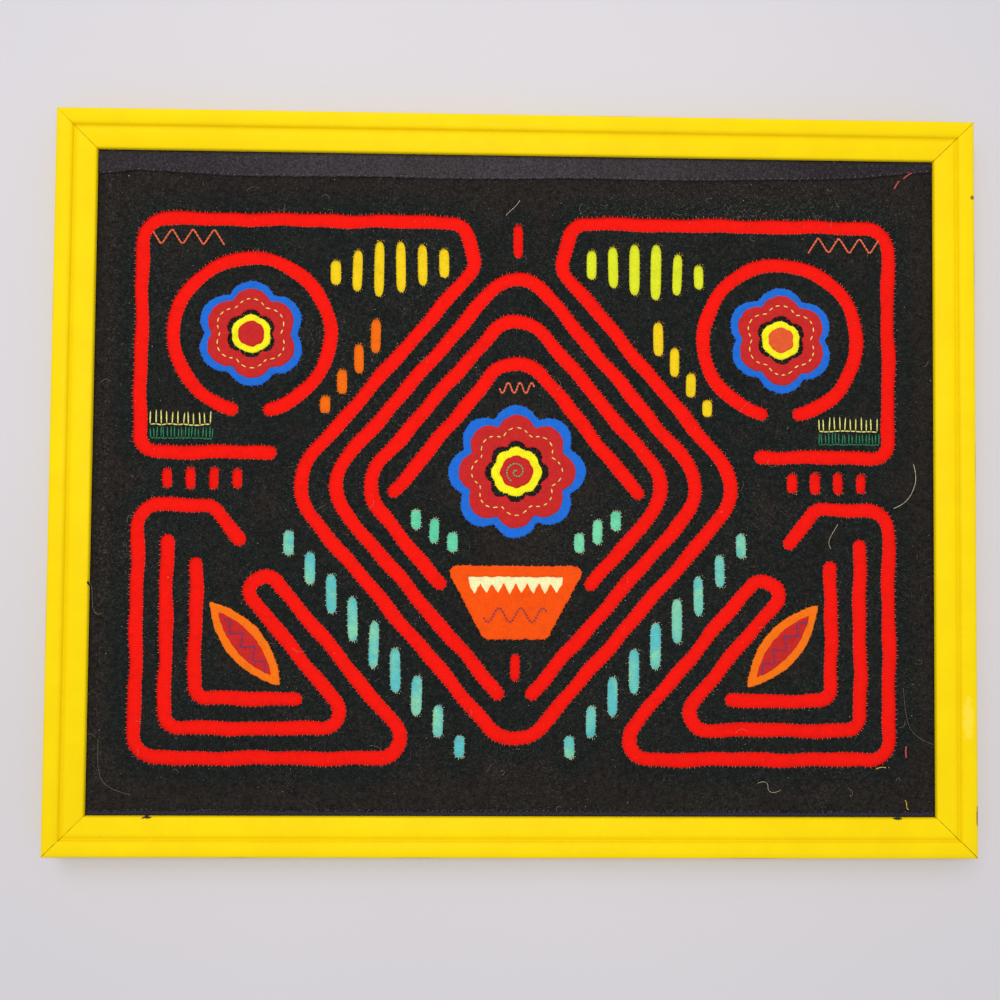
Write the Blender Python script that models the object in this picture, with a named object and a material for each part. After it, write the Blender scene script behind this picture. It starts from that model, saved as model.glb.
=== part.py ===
"""Framed mola panel: appliqué cloth behind the lip of a mitred wooden frame, lying on its back.

The face looks up (+Z), the panel's top edge is at +Y. Lengths are given in millimetres and built in metres.
"""

import math

import bpy
import numpy as np

MM = 0.001

# Frame
SIGHT_WIDTH = 345.0
SIGHT_HEIGHT = 270.8
FACE_WIDTH = 15.4
LIP_WIDTH = 5.3
LIP_UNDERSIDE = 7.7
FRAME_GAP = 0.3
# Across the moulding, from the lip's underside over the face and down the outer side to the back.
# Columns: distance out from the sight edge, height
MOULDING = (
    (0.0, LIP_UNDERSIDE),
    (0.0, 8.6),
    (0.1, 9.0),
    (0.35, 9.35),
    (0.8, 9.6),
    (1.5, 9.85),
    (3.0, 10.3),
    (4.8, 10.75),
    (6.2, 10.95),
    (7.2, 10.9),
    (7.9, 10.7),
    (8.4, 10.6),
    (8.7, 10.75),
    (8.9, 11.4),
    (9.3, 11.95),
    (10.2, 12.4),
    (11.8, 12.75),
    (13.4, 12.8),
    (14.6, 12.5),
    (15.15, 11.95),
    (FACE_WIDTH, 11.2),
    (FACE_WIDTH, 0.5),
    (14.9, 0.0),
    (LIP_WIDTH, 0.0),
    (LIP_WIDTH, LIP_UNDERSIDE),
)

# Layers, bottom and top heights
BOARD_LAYER = (1.7, 4.7)
BASE_LAYER = (5.0, 6.0)
GROUND_LAYER = (6.3, 7.4)
PATCH_LAYER = (7.7, 8.8)
EDGE_GAP = 0.3
PATCH_GAP = 0.45

# Cut bands that let the base cloth show
BAND_WIDTH = 5.6
BAND_SWELL = 0.04
SWELL_LENGTH = 31.0
SWELL_SEED_STEP = 1.3
HAND_WOBBLE = 0.4
# Drift of a hand-cut line. Columns: waves in each wobble length, extra waves, share, seed step
DRIFT = ((1, 0, 0.6, 2.4), (2, 1, 0.4, 4.1))
WOBBLE_LENGTH = 42.0
STRAIGHT_STEP = 6.5
ARC_STEP = math.radians(18)
ROOM_PER_CORNER = 0.49
SLOT_WIDTH = 4.1
SLOT_SIDE_POINTS = 9
SLOT_TAPER = 0.88
SLOT_BLUNTNESS = 6

# Bands of the right half, mirrored to the left. Columns: x, y, corner radius
OUTER_BAND = (
    (94.5, -2, 20),
    (17.5, 89, 7),
    (22.5, 107.5, 7),
    (154, 107.5, 9),
    (154, 11.5, 7),
    (101, 11.5, 0),
)
OUTER_BAND_FOOT = ((0, -112, 14),)
INNER_BAND = ((7, -86, 0), (79.5, -2, 18))
INNER_BAND_TIP = ((0, 92, 14),)
CHEVRON = ((31, -41.5, 0), (64.5, -2, 16))
CHEVRON_TIP = ((0, 74.2, 14),)
SMALL_CHEVRON = ((50, -4, 0),)
SMALL_CHEVRON_TIP = ((0, 57.3, 14),)
LABYRINTH = (
    (113, -24, 0),
    (124, -10, 6),
    (154, -10, 9),
    (154, -112.5, 9),
    (37.5, -112.5, 8),
    (100, -37.8, 5),
    (111, -44, 5),
    (63.5, -100.5, 7),
    (142, -100.5, 6),
    (142, -25, 0),
)
HOOK = ((130, -34, 0), (130, -88.5, 5), (89, -88.5, 0))
RING_CENTRE = (109.0, 60.0)
RING_RADII = (32.0, 31.5)
RING_OPENING = math.radians(14)
RING_POINTS = 24
CAP_POINTS = 6

# Rows of slots on the right half. Columns: first x, first y, step x, step y, lengths
SLOT_ROWS = (
    (30.5, 90.5, 8.9, -0.9, (12, 17, 21, 23, 17, 10)),
    (58.3, 60, 6.8, -9.5, (14, 12, 10, 7)),
    (26, -24.5, 7.5, 4.6, (8, 10, 8)),
    (22.4, -107.7, 8.8, 10.3, (9, 13, 16, 18, 19, 18, 16, 13, 10)),
    (114, 0.8, 9.5, 0, (8, 9, 9, 8)),
)
# Slots on the middle line. Columns: x, y, length
MIDDLE_SLOTS = ((0, 100, 14), (0, -75.5, 11))

# Colours laid under the slots, right half. Columns: name, outline
SCRAPS = (
    ("top", ((27.3, 102.2), (78.2, 102.2), (78.2, 80.8), (66, 74.6), (40, 74.6), (27.3, 83))),
    ("side", ((55.2, 69.3), (61.8, 69.3), (74.6, 47.8), (82, 34.6), (81.4, 26.4), (76.4, 26.4), (55.2, 52))),
    ("inner", ((22.7, -18.5), (39, -7.8), (43.5, -7.8), (43.5, -21.2), (31, -30.6), (22.7, -30.6))),
    ("low", ((11.7, -107), (90.9, -14.8), (103.8, -25.9), (24.6, -118.1))),
)
# Columns: scrap, side, colour
SCRAP_COLOURS = (
    ("top", "right", "lime"),
    ("top", "left", "gold"),
    ("side", "right", "gold"),
    ("side", "left", "orange"),
    ("inner", "right", "mint"),
    ("inner", "left", "mint"),
    ("low", "right", "turquoise"),
    ("low", "left", "turquoise"),
)

# Flowers. Columns: name, x, y, radius, petals, seed, colour of the middle
FLOWERS = (
    ("flower", 0.0, 4.5, 27.8, 8, 1, "maroon"),
    ("left_flower", -109.0, 60.0, 22.0, 6, 2, "maroon"),
    ("right_flower", 109.0, 60.0, 22.0, 6, 3, "coral"),
)
# Rings of a flower. Columns: part, outer share of the radius, inner share, depth of the notches, colour
FLOWER_RINGS = (
    ("rim", 1.0, 0.85, 0.20, "blue"),
    ("petals", 0.85, 0.46, 0.20, "maroon"),
    ("ring", 0.37, 0.25, 0.10, "yellow"),
    ("middle", 0.25, 0.0, 0.10, ""),
)
POINTS_PER_PETAL = 8
PETAL_ROUNDNESS = 0.7
# Unevenness of a hand-cut flower. Columns: lobes round it, share of the radius, seed step
HAND_CUT = ((2, 0.02, 1), (3, 0.012, 2))

# Pot with its saw-toothed strip. Columns: x, y, corner radius
POT = ((29, -34, 3), (22.5, -46, 5), (13, -64, 4))
TEETH = 8
TOOTH_PITCH = 4.8
TOOTH_DEPTH = 4.2
TRIM_TOP = -38.5
TRIM_HEIGHT = 2.6

# Leaves in the labyrinths
LEAF_CENTRE = (109.7, -66.2)
LEAF_ANGLE = 0.86
LEAF_SIZE = (44.0, 15.5)
LEAF_MIDDLE_SIZE = (33.5, 9.2)
LEAF_MIDDLE_GAPS = (1.2, 0.72)
LEAF_POINTS = 10
LEAF_FULLNESS = 0.8

# Strip sewn along the top: it runs under the lip and laps over the upper edge of the ground cloth
STRIP_LAP_LEVEL = 1.4
STRIP_BEND = (133.5, 135.0)
STRIP_STATIONS = 31
# Lower edge of the strip sewn along the top. Columns: x, y
STRIP_EDGE = (
    (-172.5, 125.0),
    (-156, 126.8),
    (-118, 125.7),
    (0, 125.4),
    (80, 126.2),
    (118, 127.1),
    (143, 128.6),
    (160, 130.6),
    (172.5, 131.4),
)
# Its waver. Columns: wave length over two pi, height, start
STRIP_WAVES = ((39.0, 0.3, 1.0), (14.0, 0.25, 0.0))
GROUND_TOP_EDGE = 133.2

# Columns: red, green, blue (linear), roughness
COLOURS = {
    "yellow_paint": (0.96, 0.69, 0.004, 0.4),
    "hardboard": (0.17, 0.09, 0.045, 0.8),
    "red": (0.90, 0.012, 0.004, 0.9),
    "black": (0.013, 0.011, 0.011, 0.95),
    "violet_grey": (0.055, 0.05, 0.068, 0.95),
    "lime": (0.66, 0.80, 0.015, 0.9),
    "gold": (0.93, 0.60, 0.006, 0.9),
    "orange": (1.0, 0.16, 0.003, 0.9),
    "mint": (0.10, 0.68, 0.40, 0.9),
    "turquoise": (0.055, 0.52, 0.64, 0.9),
    "blue": (0.006, 0.13, 0.76, 0.9),
    "maroon": (0.40, 0.014, 0.028, 0.9),
    "coral": (0.90, 0.10, 0.06, 0.9),
    "yellow": (1.0, 0.84, 0.005, 0.9),
    "orange_border": (1.0, 0.20, 0.002, 0.9),
    "cream": (0.97, 0.86, 0.38, 0.9),
}


def clear_scene():
    for obj in list(bpy.data.objects):
        bpy.data.objects.remove(obj, do_unlink=True)


def material(colour):
    name = "cloth_" + colour if colour not in ("yellow_paint", "hardboard") else colour
    made = bpy.data.materials.get(name)
    if made:
        return made
    made = bpy.data.materials.new(name)
    made.use_nodes = True
    shader = made.node_tree.nodes["Principled BSDF"]
    red, green, blue, roughness = COLOURS[colour]
    shader.inputs["Base Color"].default_value = (red, green, blue, 1.0)
    shader.inputs["Roughness"].default_value = roughness
    shader.inputs["Metallic"].default_value = 0.0
    return made


def mirrored(points):
    """The same points on the left half, in the order that walks back."""
    return tuple((-p[0], *p[1:]) for p in points)[::-1]


def rounded_line(corners):
    """An open line through the corners (x, y, radius), its turns rounded and its straight runs in steps."""
    places = [np.array(corner[:2], float) for corner in corners]
    line = []

    def straight_to(place):
        if line:
            run = place - line[-1]
            steps = max(1, round(float(np.linalg.norm(run)) / STRAIGHT_STEP))
            start = line[-1]
            line.extend(start + run * step / steps for step in range(1, steps))
        line.append(place)

    straight_to(places[0])
    for before, corner, after, row in zip(places, places[1:], places[2:], corners[1:]):
        back = (before - corner) / np.linalg.norm(before - corner)
        ahead = (after - corner) / np.linalg.norm(after - corner)
        half_angle = math.acos(float(back @ ahead)) / 2
        room = ROOM_PER_CORNER * min(np.linalg.norm(before - corner), np.linalg.norm(after - corner))
        reach = min(row[2] / math.tan(half_angle), room)
        radius = reach * math.tan(half_angle)
        middle = corner + (back + ahead) / np.linalg.norm(back + ahead) * math.hypot(radius, reach)
        first, last = corner + back * reach, corner + ahead * reach
        start = math.atan2(first[1] - middle[1], first[0] - middle[0])
        turn = math.atan2(last[1] - middle[1], last[0] - middle[0]) - start
        turn = (turn + math.pi) % (2 * math.pi) - math.pi
        straight_to(first)
        steps = max(2, math.ceil(abs(turn) / ARC_STEP))
        for step in range(1, steps + 1):
            angle = start + turn * step / steps
            line.append(middle + radius * np.array([math.cos(angle), math.sin(angle)]))
    straight_to(places[-1])
    return np.array(line)


def ring_line(side):
    """The open ring round a corner flower."""
    angles = np.linspace(RING_OPENING, 2 * math.pi - RING_OPENING, RING_POINTS) - math.pi / 2
    x = side * RING_CENTRE[0] + RING_RADII[0] * np.cos(angles)
    y = RING_CENTRE[1] + RING_RADII[1] * np.sin(angles)
    return np.stack([x, y], 1)


def across(line):
    """Unit vectors to the left of the line."""
    run = np.gradient(line, axis=0)
    run /= np.linalg.norm(run, axis=1)[:, None]
    return np.stack([-run[:, 1], run[:, 0]], 1)


def band(line, seed):
    """The outline of a hand-cut band that follows the line and has round ends."""
    steps = np.linalg.norm(np.diff(line, axis=0), axis=1)
    at = np.concatenate([[0.0], np.cumsum(steps)])
    waves = max(1, round(at[-1] / WOBBLE_LENGTH))
    phase = 2 * math.pi * at / at[-1]
    drift = sum(
        share * np.sin((waves * times + more) * phase + step * seed)
        for times, more, share, step in DRIFT
    )
    line = line + across(line) * (HAND_WOBBLE * drift)[:, None]
    swells = max(1, round(at[-1] / SWELL_LENGTH))
    half = BAND_WIDTH / 2 * (1 + BAND_SWELL * np.sin(swells * phase + SWELL_SEED_STEP * seed))
    side = across(line)
    left = line + side * half[:, None]
    right = line - side * half[:, None]
    end_cap, start_cap = [], []
    for cap, at_end, way in ((end_cap, -1, 1), (start_cap, 0, -1)):
        out = way * np.array([side[at_end][1], -side[at_end][0]])
        for angle in np.linspace(0, math.pi, CAP_POINTS)[1:-1]:
            turn = way * side[at_end] * math.cos(angle) + out * math.sin(angle)
            cap.append(line[at_end] + half[at_end] * turn)
    return np.concatenate([left, end_cap, right[::-1], start_cap])


def band_outlines():
    foot_to_right = OUTER_BAND_FOOT + OUTER_BAND
    lines = [
        rounded_line(mirrored(OUTER_BAND) + foot_to_right),
        rounded_line(INNER_BAND + INNER_BAND_TIP + mirrored(INNER_BAND)),
        rounded_line(CHEVRON + CHEVRON_TIP + mirrored(CHEVRON)),
        rounded_line(SMALL_CHEVRON + SMALL_CHEVRON_TIP + mirrored(SMALL_CHEVRON)),
        rounded_line(LABYRINTH),
        rounded_line(mirrored(LABYRINTH)),
        rounded_line(HOOK),
        rounded_line(mirrored(HOOK)),
        ring_line(1),
        ring_line(-1),
    ]
    return [band(line, seed) for seed, line in enumerate(lines, 1)]


def slot_outline(x, y, length):
    """An upright slot with tapering, blunt ends."""
    up = np.sin(np.linspace(-math.pi / 2, math.pi / 2, SLOT_SIDE_POINTS))
    half = SLOT_WIDTH / 2 * np.sqrt(1 - SLOT_TAPER * np.abs(up) ** SLOT_BLUNTNESS)
    right = np.stack([x + half, y + up * length / 2], 1)
    left = np.stack([x - half[::-1], y + up[::-1] * length / 2], 1)
    return np.concatenate([right, left])


def slot_outlines():
    slots = [slot_outline(*row) for row in MIDDLE_SLOTS]
    for first_x, first_y, step_x, step_y, lengths in SLOT_ROWS:
        for number, length in enumerate(lengths):
            x, y = first_x + step_x * number, first_y + step_y * number
            slots += [slot_outline(x, y, length), slot_outline(-x, y, length)]
    return slots


def sheet(name, loops, layer, colour):
    """A flat piece of cloth: the first loop is its outline, the others are cut out of it."""
    bottom, top = layer
    curve = bpy.data.curves.new(name, "CURVE")
    curve.dimensions = "2D"
    curve.fill_mode = "BOTH"
    curve.extrude = (top - bottom) / 2 * MM
    for loop in loops:
        spline = curve.splines.new("POLY")
        spline.points.add(len(loop) - 1)
        for point, (x, y) in zip(spline.points, loop):
            point.co = (x * MM, y * MM, 0.0, 1.0)
        spline.use_cyclic_u = True
    made = bpy.data.objects.new(name, curve)
    made.location.z = (top + bottom) / 2 * MM
    bpy.context.scene.collection.objects.link(made)
    curve.materials.append(material(colour))
    return made


def solid(name, points, faces, colour):
    mesh = bpy.data.meshes.new(name)
    mesh.from_pydata([tuple(value * MM for value in point) for point in points], [], faces)
    mesh.materials.append(material(colour))
    mesh.update()
    made = bpy.data.objects.new(name, mesh)
    bpy.context.scene.collection.objects.link(made)
    return made


def rectangle(width, height):
    x, y = width / 2, height / 2
    return [(x, y), (-x, y), (-x, -y), (x, -y)]


def rail(name, length, distance, turned):
    """One mitred length of moulding; turned is its angle about Z from the bottom rail's place."""
    cut_back = FRAME_GAP / 2 * math.sqrt(2)
    cos, sin = round(math.cos(turned)), round(math.sin(turned))
    count = len(MOULDING)
    points = []
    for end in (-1, 1):
        for out, height in MOULDING:
            x = end * (length / 2 + out - cut_back)
            y = -(distance / 2 + out)
            points.append((x * cos - y * sin, x * sin + y * cos, height))
    faces = [tuple(range(count)), tuple(range(2 * count - 1, count - 1, -1))]
    for here in range(count):
        after = (here + 1) % count
        faces.append((here, count + here, count + after, after))
    solid(name, points, [face[::-1] for face in faces], "yellow_paint")


def frame():
    rail("rail_bottom", SIGHT_WIDTH, SIGHT_HEIGHT, 0.0)
    rail("rail_right", SIGHT_HEIGHT, SIGHT_WIDTH, math.pi / 2)
    rail("rail_top", SIGHT_WIDTH, SIGHT_HEIGHT, math.pi)
    rail("rail_left", SIGHT_HEIGHT, SIGHT_WIDTH, -math.pi / 2)


def strip_edge(x):
    """The height up the panel of the strip's uneven lower edge."""
    waves = sum(height * math.sin(x / length + start) for length, height, start in STRIP_WAVES)
    return float(np.interp(x, *zip(*STRIP_EDGE))) + waves


def top_strip(width, top):
    """A sheet that lies level with the ground cloth under the lip, bends up and laps over its edge."""
    low, high = GROUND_LAYER
    lap_low, lap_high = low + STRIP_LAP_LEVEL, high + STRIP_LAP_LEVEL
    bend_foot, bend_top = STRIP_BEND
    points = []
    for x in np.linspace(-width / 2, width / 2, STRIP_STATIONS):
        edge = strip_edge(x)
        under = [(top, low), (bend_top, low), (bend_foot, lap_low), (edge, lap_low)]
        over = [(edge, lap_high), (bend_foot, lap_high), (bend_top, high), (top, high)]
        points += [(x, y, z) for y, z in under + over]
    count = 8
    faces = [tuple(range(count)), tuple(reversed(range(len(points) - count, len(points))))]
    for station in range(STRIP_STATIONS - 1):
        start = station * count
        for here in range(count):
            after = (here + 1) % count
            faces.append((start + after, start + here, start + count + here, start + count + after))
    solid("top_strip", points, faces, "violet_grey")


def petal_loop(x, y, radius, petals, notch, seed):
    """A flower outline: round petals with a notch between, each a little different."""
    angles = np.linspace(0, 2 * math.pi, petals * POINTS_PER_PETAL, endpoint=False)
    bulge = np.abs(np.cos(petals / 2 * (angles - math.pi / 2))) ** PETAL_ROUNDNESS
    hand = 1 + sum(share * np.sin(lobes * angles + step * seed) for lobes, share, step in HAND_CUT)
    reach = radius * (1 - notch + notch * bulge) * hand
    return np.stack([x + reach * np.cos(angles), y + reach * np.sin(angles)], 1)


def flower(name, x, y, radius, petals, seed, middle_colour):
    for part, outer, inner, notch, colour in FLOWER_RINGS:
        gap = 0.0 if outer == 1.0 else PATCH_GAP
        loops = [petal_loop(x, y, outer * radius - gap, petals, notch, seed)]
        if inner:
            loops.append(petal_loop(x, y, inner * radius, petals, notch, seed))
        sheet(f"{name}_{part}", loops, PATCH_LAYER, colour or middle_colour)


def saw_teeth(grow):
    """The toothed strip of the pot, its edges moved out by grow."""
    half = TEETH * TOOTH_PITCH / 2
    slant = grow * math.hypot(1.0, TOOTH_DEPTH / (TOOTH_PITCH / 2))
    line = [(half + grow, TRIM_TOP + grow), (-half - grow, TRIM_TOP + grow)]
    foot = TRIM_TOP - TRIM_HEIGHT - slant
    line.append((-half - grow, foot + grow * TOOTH_DEPTH / (TOOTH_PITCH / 2)))
    for tooth in range(TEETH):
        left = -half + tooth * TOOTH_PITCH
        line.append((left + TOOTH_PITCH / 2, foot - TOOTH_DEPTH))
        if tooth < TEETH - 1:
            line.append((left + TOOTH_PITCH, foot))
    line.append((half + grow, foot + grow * TOOTH_DEPTH / (TOOTH_PITCH / 2)))
    return line


def pot():
    start = ((0.0, POT[0][1], 0),)
    end = ((0.0, POT[-1][1], 0),)
    right = rounded_line(start + POT + end)[1:-1]
    outline = np.concatenate([right, right[::-1] * (-1, 1)])
    sheet("pot", [outline, saw_teeth(EDGE_GAP)], PATCH_LAYER, "orange")
    sheet("pot_trim", [saw_teeth(0.0)], PATCH_LAYER, "cream")


def leaf_loop(side, length, width):
    along = 0.5 - 0.5 * np.cos(np.linspace(0, math.pi, LEAF_POINTS))
    half = width / 2 * np.sin(math.pi * along) ** LEAF_FULLNESS
    lengthways = (along - 0.5) * length
    upper = np.stack([lengthways, half], 1)
    lower = np.stack([lengthways[::-1], -half[::-1]], 1)[1:-1]
    cos, sin = math.cos(LEAF_ANGLE), math.sin(LEAF_ANGLE)
    line = np.concatenate([upper, lower]) @ np.array([[cos, sin], [-sin, cos]]) + LEAF_CENTRE
    return line * (side, 1)


def leaf(side, name):
    length, width = LEAF_MIDDLE_SIZE
    rim = [leaf_loop(side, *LEAF_SIZE), leaf_loop(side, length, width)]
    sheet(name + "_rim", rim, PATCH_LAYER, "orange_border")
    length_gap, width_gap = LEAF_MIDDLE_GAPS
    middle = leaf_loop(side, length - length_gap, width - width_gap)
    sheet(name + "_middle", [middle], PATCH_LAYER, "maroon")


def grown(outline, grow):
    """The outline of straight runs with each run moved out by grow."""
    places = np.array(outline, float)
    ahead = np.roll(places, -1, 0) - places
    ahead /= np.linalg.norm(ahead, axis=1)[:, None]
    turn = np.cross(places - places.mean(0), np.roll(places, -1, 0) - places.mean(0)).sum()
    out = np.stack([ahead[:, 1], -ahead[:, 0]], 1) * np.sign(turn)
    before = np.roll(out, 1, 0)
    shift = (out + before) / (1 + (out * before).sum(1))[:, None]
    return places + shift * grow


def scrap_outline(name, side):
    outline = dict(SCRAPS)[name]
    return outline if side == "right" else mirrored(outline)


def cloths():
    width = SIGHT_WIDTH + 2 * (LIP_WIDTH - EDGE_GAP)
    height = SIGHT_HEIGHT + 2 * (LIP_WIDTH - EDGE_GAP)
    sheet("backing_board", [rectangle(width, height)], BOARD_LAYER, "hardboard")
    windows = []
    for name, side, colour in SCRAP_COLOURS:
        outline = scrap_outline(name, side)
        windows.append(grown(outline, EDGE_GAP))
        sheet(f"scrap_{name}_{side}", [outline], BASE_LAYER, colour)
    sheet("base_cloth", [rectangle(width, height), *windows], BASE_LAYER, "red")
    ground = [
        (width / 2, GROUND_TOP_EDGE),
        (-width / 2, GROUND_TOP_EDGE),
        (-width / 2, -height / 2),
        (width / 2, -height / 2),
    ]
    sheet("ground_cloth", [ground, *band_outlines(), *slot_outlines()], GROUND_LAYER, "black")
    top_strip(SIGHT_WIDTH - 2 * EDGE_GAP, height / 2)


def patches():
    for row in FLOWERS:
        flower(*row)
    pot()
    leaf(-1, "left_leaf")
    leaf(1, "right_leaf")


clear_scene()
frame()
cloths()
patches()
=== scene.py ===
"""Looks of the framed mola panel: sewn cloth, thread, lint and the worn gloss paint of the frame.

Sizes are in millimetres until a mesh is built. The frame lies on its back, face up.
"""

import math
import random

import bpy
import numpy as np
from mathutils import Matrix, Vector, kdtree
from mathutils.geometry import delaunay_2d_cdt


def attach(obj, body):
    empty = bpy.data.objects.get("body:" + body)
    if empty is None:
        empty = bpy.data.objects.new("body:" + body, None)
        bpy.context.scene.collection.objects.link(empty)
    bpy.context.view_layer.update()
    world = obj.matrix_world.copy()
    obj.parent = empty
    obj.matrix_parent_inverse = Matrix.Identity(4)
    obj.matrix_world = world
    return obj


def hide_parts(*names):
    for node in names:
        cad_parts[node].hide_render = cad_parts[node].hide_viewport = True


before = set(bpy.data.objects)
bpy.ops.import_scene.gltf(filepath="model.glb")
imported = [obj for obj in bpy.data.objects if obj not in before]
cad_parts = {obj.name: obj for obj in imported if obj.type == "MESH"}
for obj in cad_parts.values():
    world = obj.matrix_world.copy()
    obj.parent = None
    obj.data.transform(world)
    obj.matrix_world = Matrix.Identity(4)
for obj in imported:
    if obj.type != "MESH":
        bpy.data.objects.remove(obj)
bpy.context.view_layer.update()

MM = 0.001
chance = random.Random(7)

# Frame
SIGHT_WIDTH = 345.0
SIGHT_HEIGHT = 270.8
FACE_WIDTH = 15.4
LIP_WIDTH = 5.3
LIP_UNDERSIDE = 7.7
SIGHT_EDGE_LEVEL = 9.0
# Over the face of the moulding. Columns: distance out from the sight edge, height
MOULDING_FACE = (
    (0.0, 8.6), (0.1, 9.0), (0.35, 9.35), (0.8, 9.6), (1.5, 9.85), (3.0, 10.3), (4.8, 10.75), (6.2, 10.95),
    (7.2, 10.9), (7.9, 10.7), (8.4, 10.6), (8.7, 10.75), (8.9, 11.4), (9.3, 11.95), (10.2, 12.4), (11.8, 12.75),
    (13.4, 12.8), (14.6, 12.5), (15.15, 11.95), (FACE_WIDTH, 11.2),
)
# Down the outer side, over the back and up into the rebate
MOULDING_BACK = ((FACE_WIDTH, 0.5), (14.9, 0.0), (LIP_WIDTH, 0.0), (LIP_WIDTH, LIP_UNDERSIDE), (0.0, LIP_UNDERSIDE))
FACE_STEPS = 4
# Start, foot and end of the hollow beside the bead, darkened with dust and painted shade
HOLLOW = (6.2, 8.4, 9.1)
# Columns: piece, CAD node, length, distance between the sight edges, turn about Z, how open the mitres are
RAILS = (
    ("bottom_rail", "rail_bottom", SIGHT_WIDTH, SIGHT_HEIGHT, 0, 0.05),
    ("right_rail", "rail_right", SIGHT_HEIGHT, SIGHT_WIDTH, 90, 0.08),
    ("top_rail", "rail_top", SIGHT_WIDTH, SIGHT_HEIGHT, 180, 0.05),
    ("left_rail", "rail_left", SIGHT_HEIGHT, SIGHT_WIDTH, 270, 0.05),
)

# Heights of the cloths
BASE_LEVEL = 6.32
BASE_PUFF = 0.22
SCRAP_LEVEL = 6.5
GROUND_LEVEL = 7.25
PATCH_LEVEL = 7.95
UPPER_PATCH_LEVEL = 8.3
POT_TRIM_LEVEL = 7.5
STRIP_LEVEL = 8.0

# A turned edge, from the end tucked under to the flat cloth. Columns: distance in from the fold, height
TUCK = ((1.3, -0.64), (0.3, -0.62), (0.05, -0.52))
FOLD = ((0.0, -0.34), (0.14, -0.09), (0.42, 0.05), (1.1, 0.06))
FOLD_WIDTH = 1.1
FOLD_END = 3.2
SEAM_ALLOWANCE = 1.3

# Hand-cut bands
BAND_WIDTH = 5.6
BAND_SWELL = 0.04
SWELL_LENGTH = 31.0
HAND_WOBBLE = 0.4
DRIFT = ((1, 0, 0.6, 2.4), (2, 1, 0.4, 4.1))
WOBBLE_LENGTH = 42.0
SNIP = 0.13
STITCH_PULL = 0.17
STRAIGHT_STEP = 2.0
ARC_STEP = math.radians(7)
ROOM_PER_CORNER = 0.49
EDGE_STEP = 1.05
SLOT_WIDTH = 4.1
SLOT_TAPER = 0.88
SLOT_BLUNTNESS = 6

# Bands of the right half. Columns: x, y, corner radius
OUTER_BAND = ((94.5, -2, 20), (17.5, 89, 7), (22.5, 107.5, 7), (154, 107.5, 9), (154, 11.5, 7), (101, 11.5, 0))
OUTER_BAND_FOOT = ((0, -112, 14),)
INNER_BAND = ((7, -86, 0), (79.5, -2, 18))
INNER_BAND_TIP = ((0, 92, 14),)
CHEVRON = ((31, -41.5, 0), (64.5, -2, 16))
CHEVRON_TIP = ((0, 74.2, 14),)
SMALL_CHEVRON = ((50, -4, 0),)
SMALL_CHEVRON_TIP = ((0, 57.3, 14),)
LABYRINTH = (
    (113, -24, 0), (124, -10, 6), (154, -10, 9), (154, -112.5, 9), (37.5, -112.5, 8),
    (100, -37.8, 5), (111, -44, 5), (63.5, -100.5, 7), (142, -100.5, 6), (142, -25, 0),
)
HOOK = ((130, -34, 0), (130, -88.5, 5), (89, -88.5, 0))
RING_CENTRE = (109.0, 60.0)
RING_RADII = (32.0, 31.5)
RING_OPENING = math.radians(14)

# Rows of slots on the right half. Columns: thread, first x, first y, step x, step y, lengths
SLOT_ROWS = (
    ("gold_thread", 30.5, 90.5, 8.9, -0.9, (12, 17, 21, 23, 17, 10)),
    ("orange_thread", 58.3, 60, 6.8, -9.5, (14, 12, 10, 7)),
    ("cream_thread", 26, -24.5, 7.5, 4.6, (8, 10, 8)),
    ("cream_thread", 22.4, -107.7, 8.8, 10.3, (9, 13, 16, 18, 19, 18, 16, 13, 10)),
    ("red_thread", 114, 0.8, 9.5, 0, (8, 9, 9, 8)),
)
# Slots on the middle line. Columns: x, y, length
MIDDLE_SLOTS = ((0, 100, 14), (0, -75.5, 11))

# Colours laid under the slots, right half. Columns: name, outline
SCRAPS = (
    ("top", ((27.3, 102.2), (78.2, 102.2), (78.2, 80.8), (66, 74.6), (40, 74.6), (27.3, 83))),
    ("side", ((55.2, 69.3), (61.8, 69.3), (74.6, 47.8), (82, 34.6), (81.4, 26.4), (76.4, 26.4), (55.2, 52))),
    ("inner", ((22.7, -18.5), (39, -7.8), (43.5, -7.8), (43.5, -21.2), (31, -30.6), (22.7, -30.6))),
    ("low", ((11.7, -107), (90.9, -14.8), (103.8, -25.9), (24.6, -118.1))),
)
# Columns: scrap, side, colour
SCRAP_COLOURS = (
    ("top", "right", "lime"), ("top", "left", "gold"), ("side", "right", "gold"), ("side", "left", "orange"),
    ("inner", "right", "mint"), ("inner", "left", "mint"), ("low", "right", "turquoise"),
    ("low", "left", "turquoise"),
)

# Columns: name, x, y, radius, petals, seed, colour of the middle
FLOWERS = (
    ("flower", 0.0, 4.5, 27.8, 8, 1, "maroon"),
    ("left_flower", -109.0, 60.0, 22.0, 6, 2, "maroon"),
    ("right_flower", 109.0, 60.0, 22.0, 6, 3, "coral"),
)
# Columns: part, outer share of the radius, inner share, notch, inner notch, height, colour
FLOWER_LAYERS = (
    ("rim", 1.0, 0.55, 0.20, 0.20, PATCH_LEVEL, "blue"),
    ("petals", 0.85, 0.46, 0.20, 0.20, UPPER_PATCH_LEVEL, "maroon"),
    ("ring", 0.37, 0.0, 0.10, 0.0, PATCH_LEVEL, "yellow"),
    ("middle", 0.245, 0.0, 0.10, 0.0, UPPER_PATCH_LEVEL, ""),
)
PETAL_ROUNDNESS = 0.35
NOTCH_ROUNDING = 0.015
HAND_CUT = ((2, 0.02, 1), (3, 0.012, 2))

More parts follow.
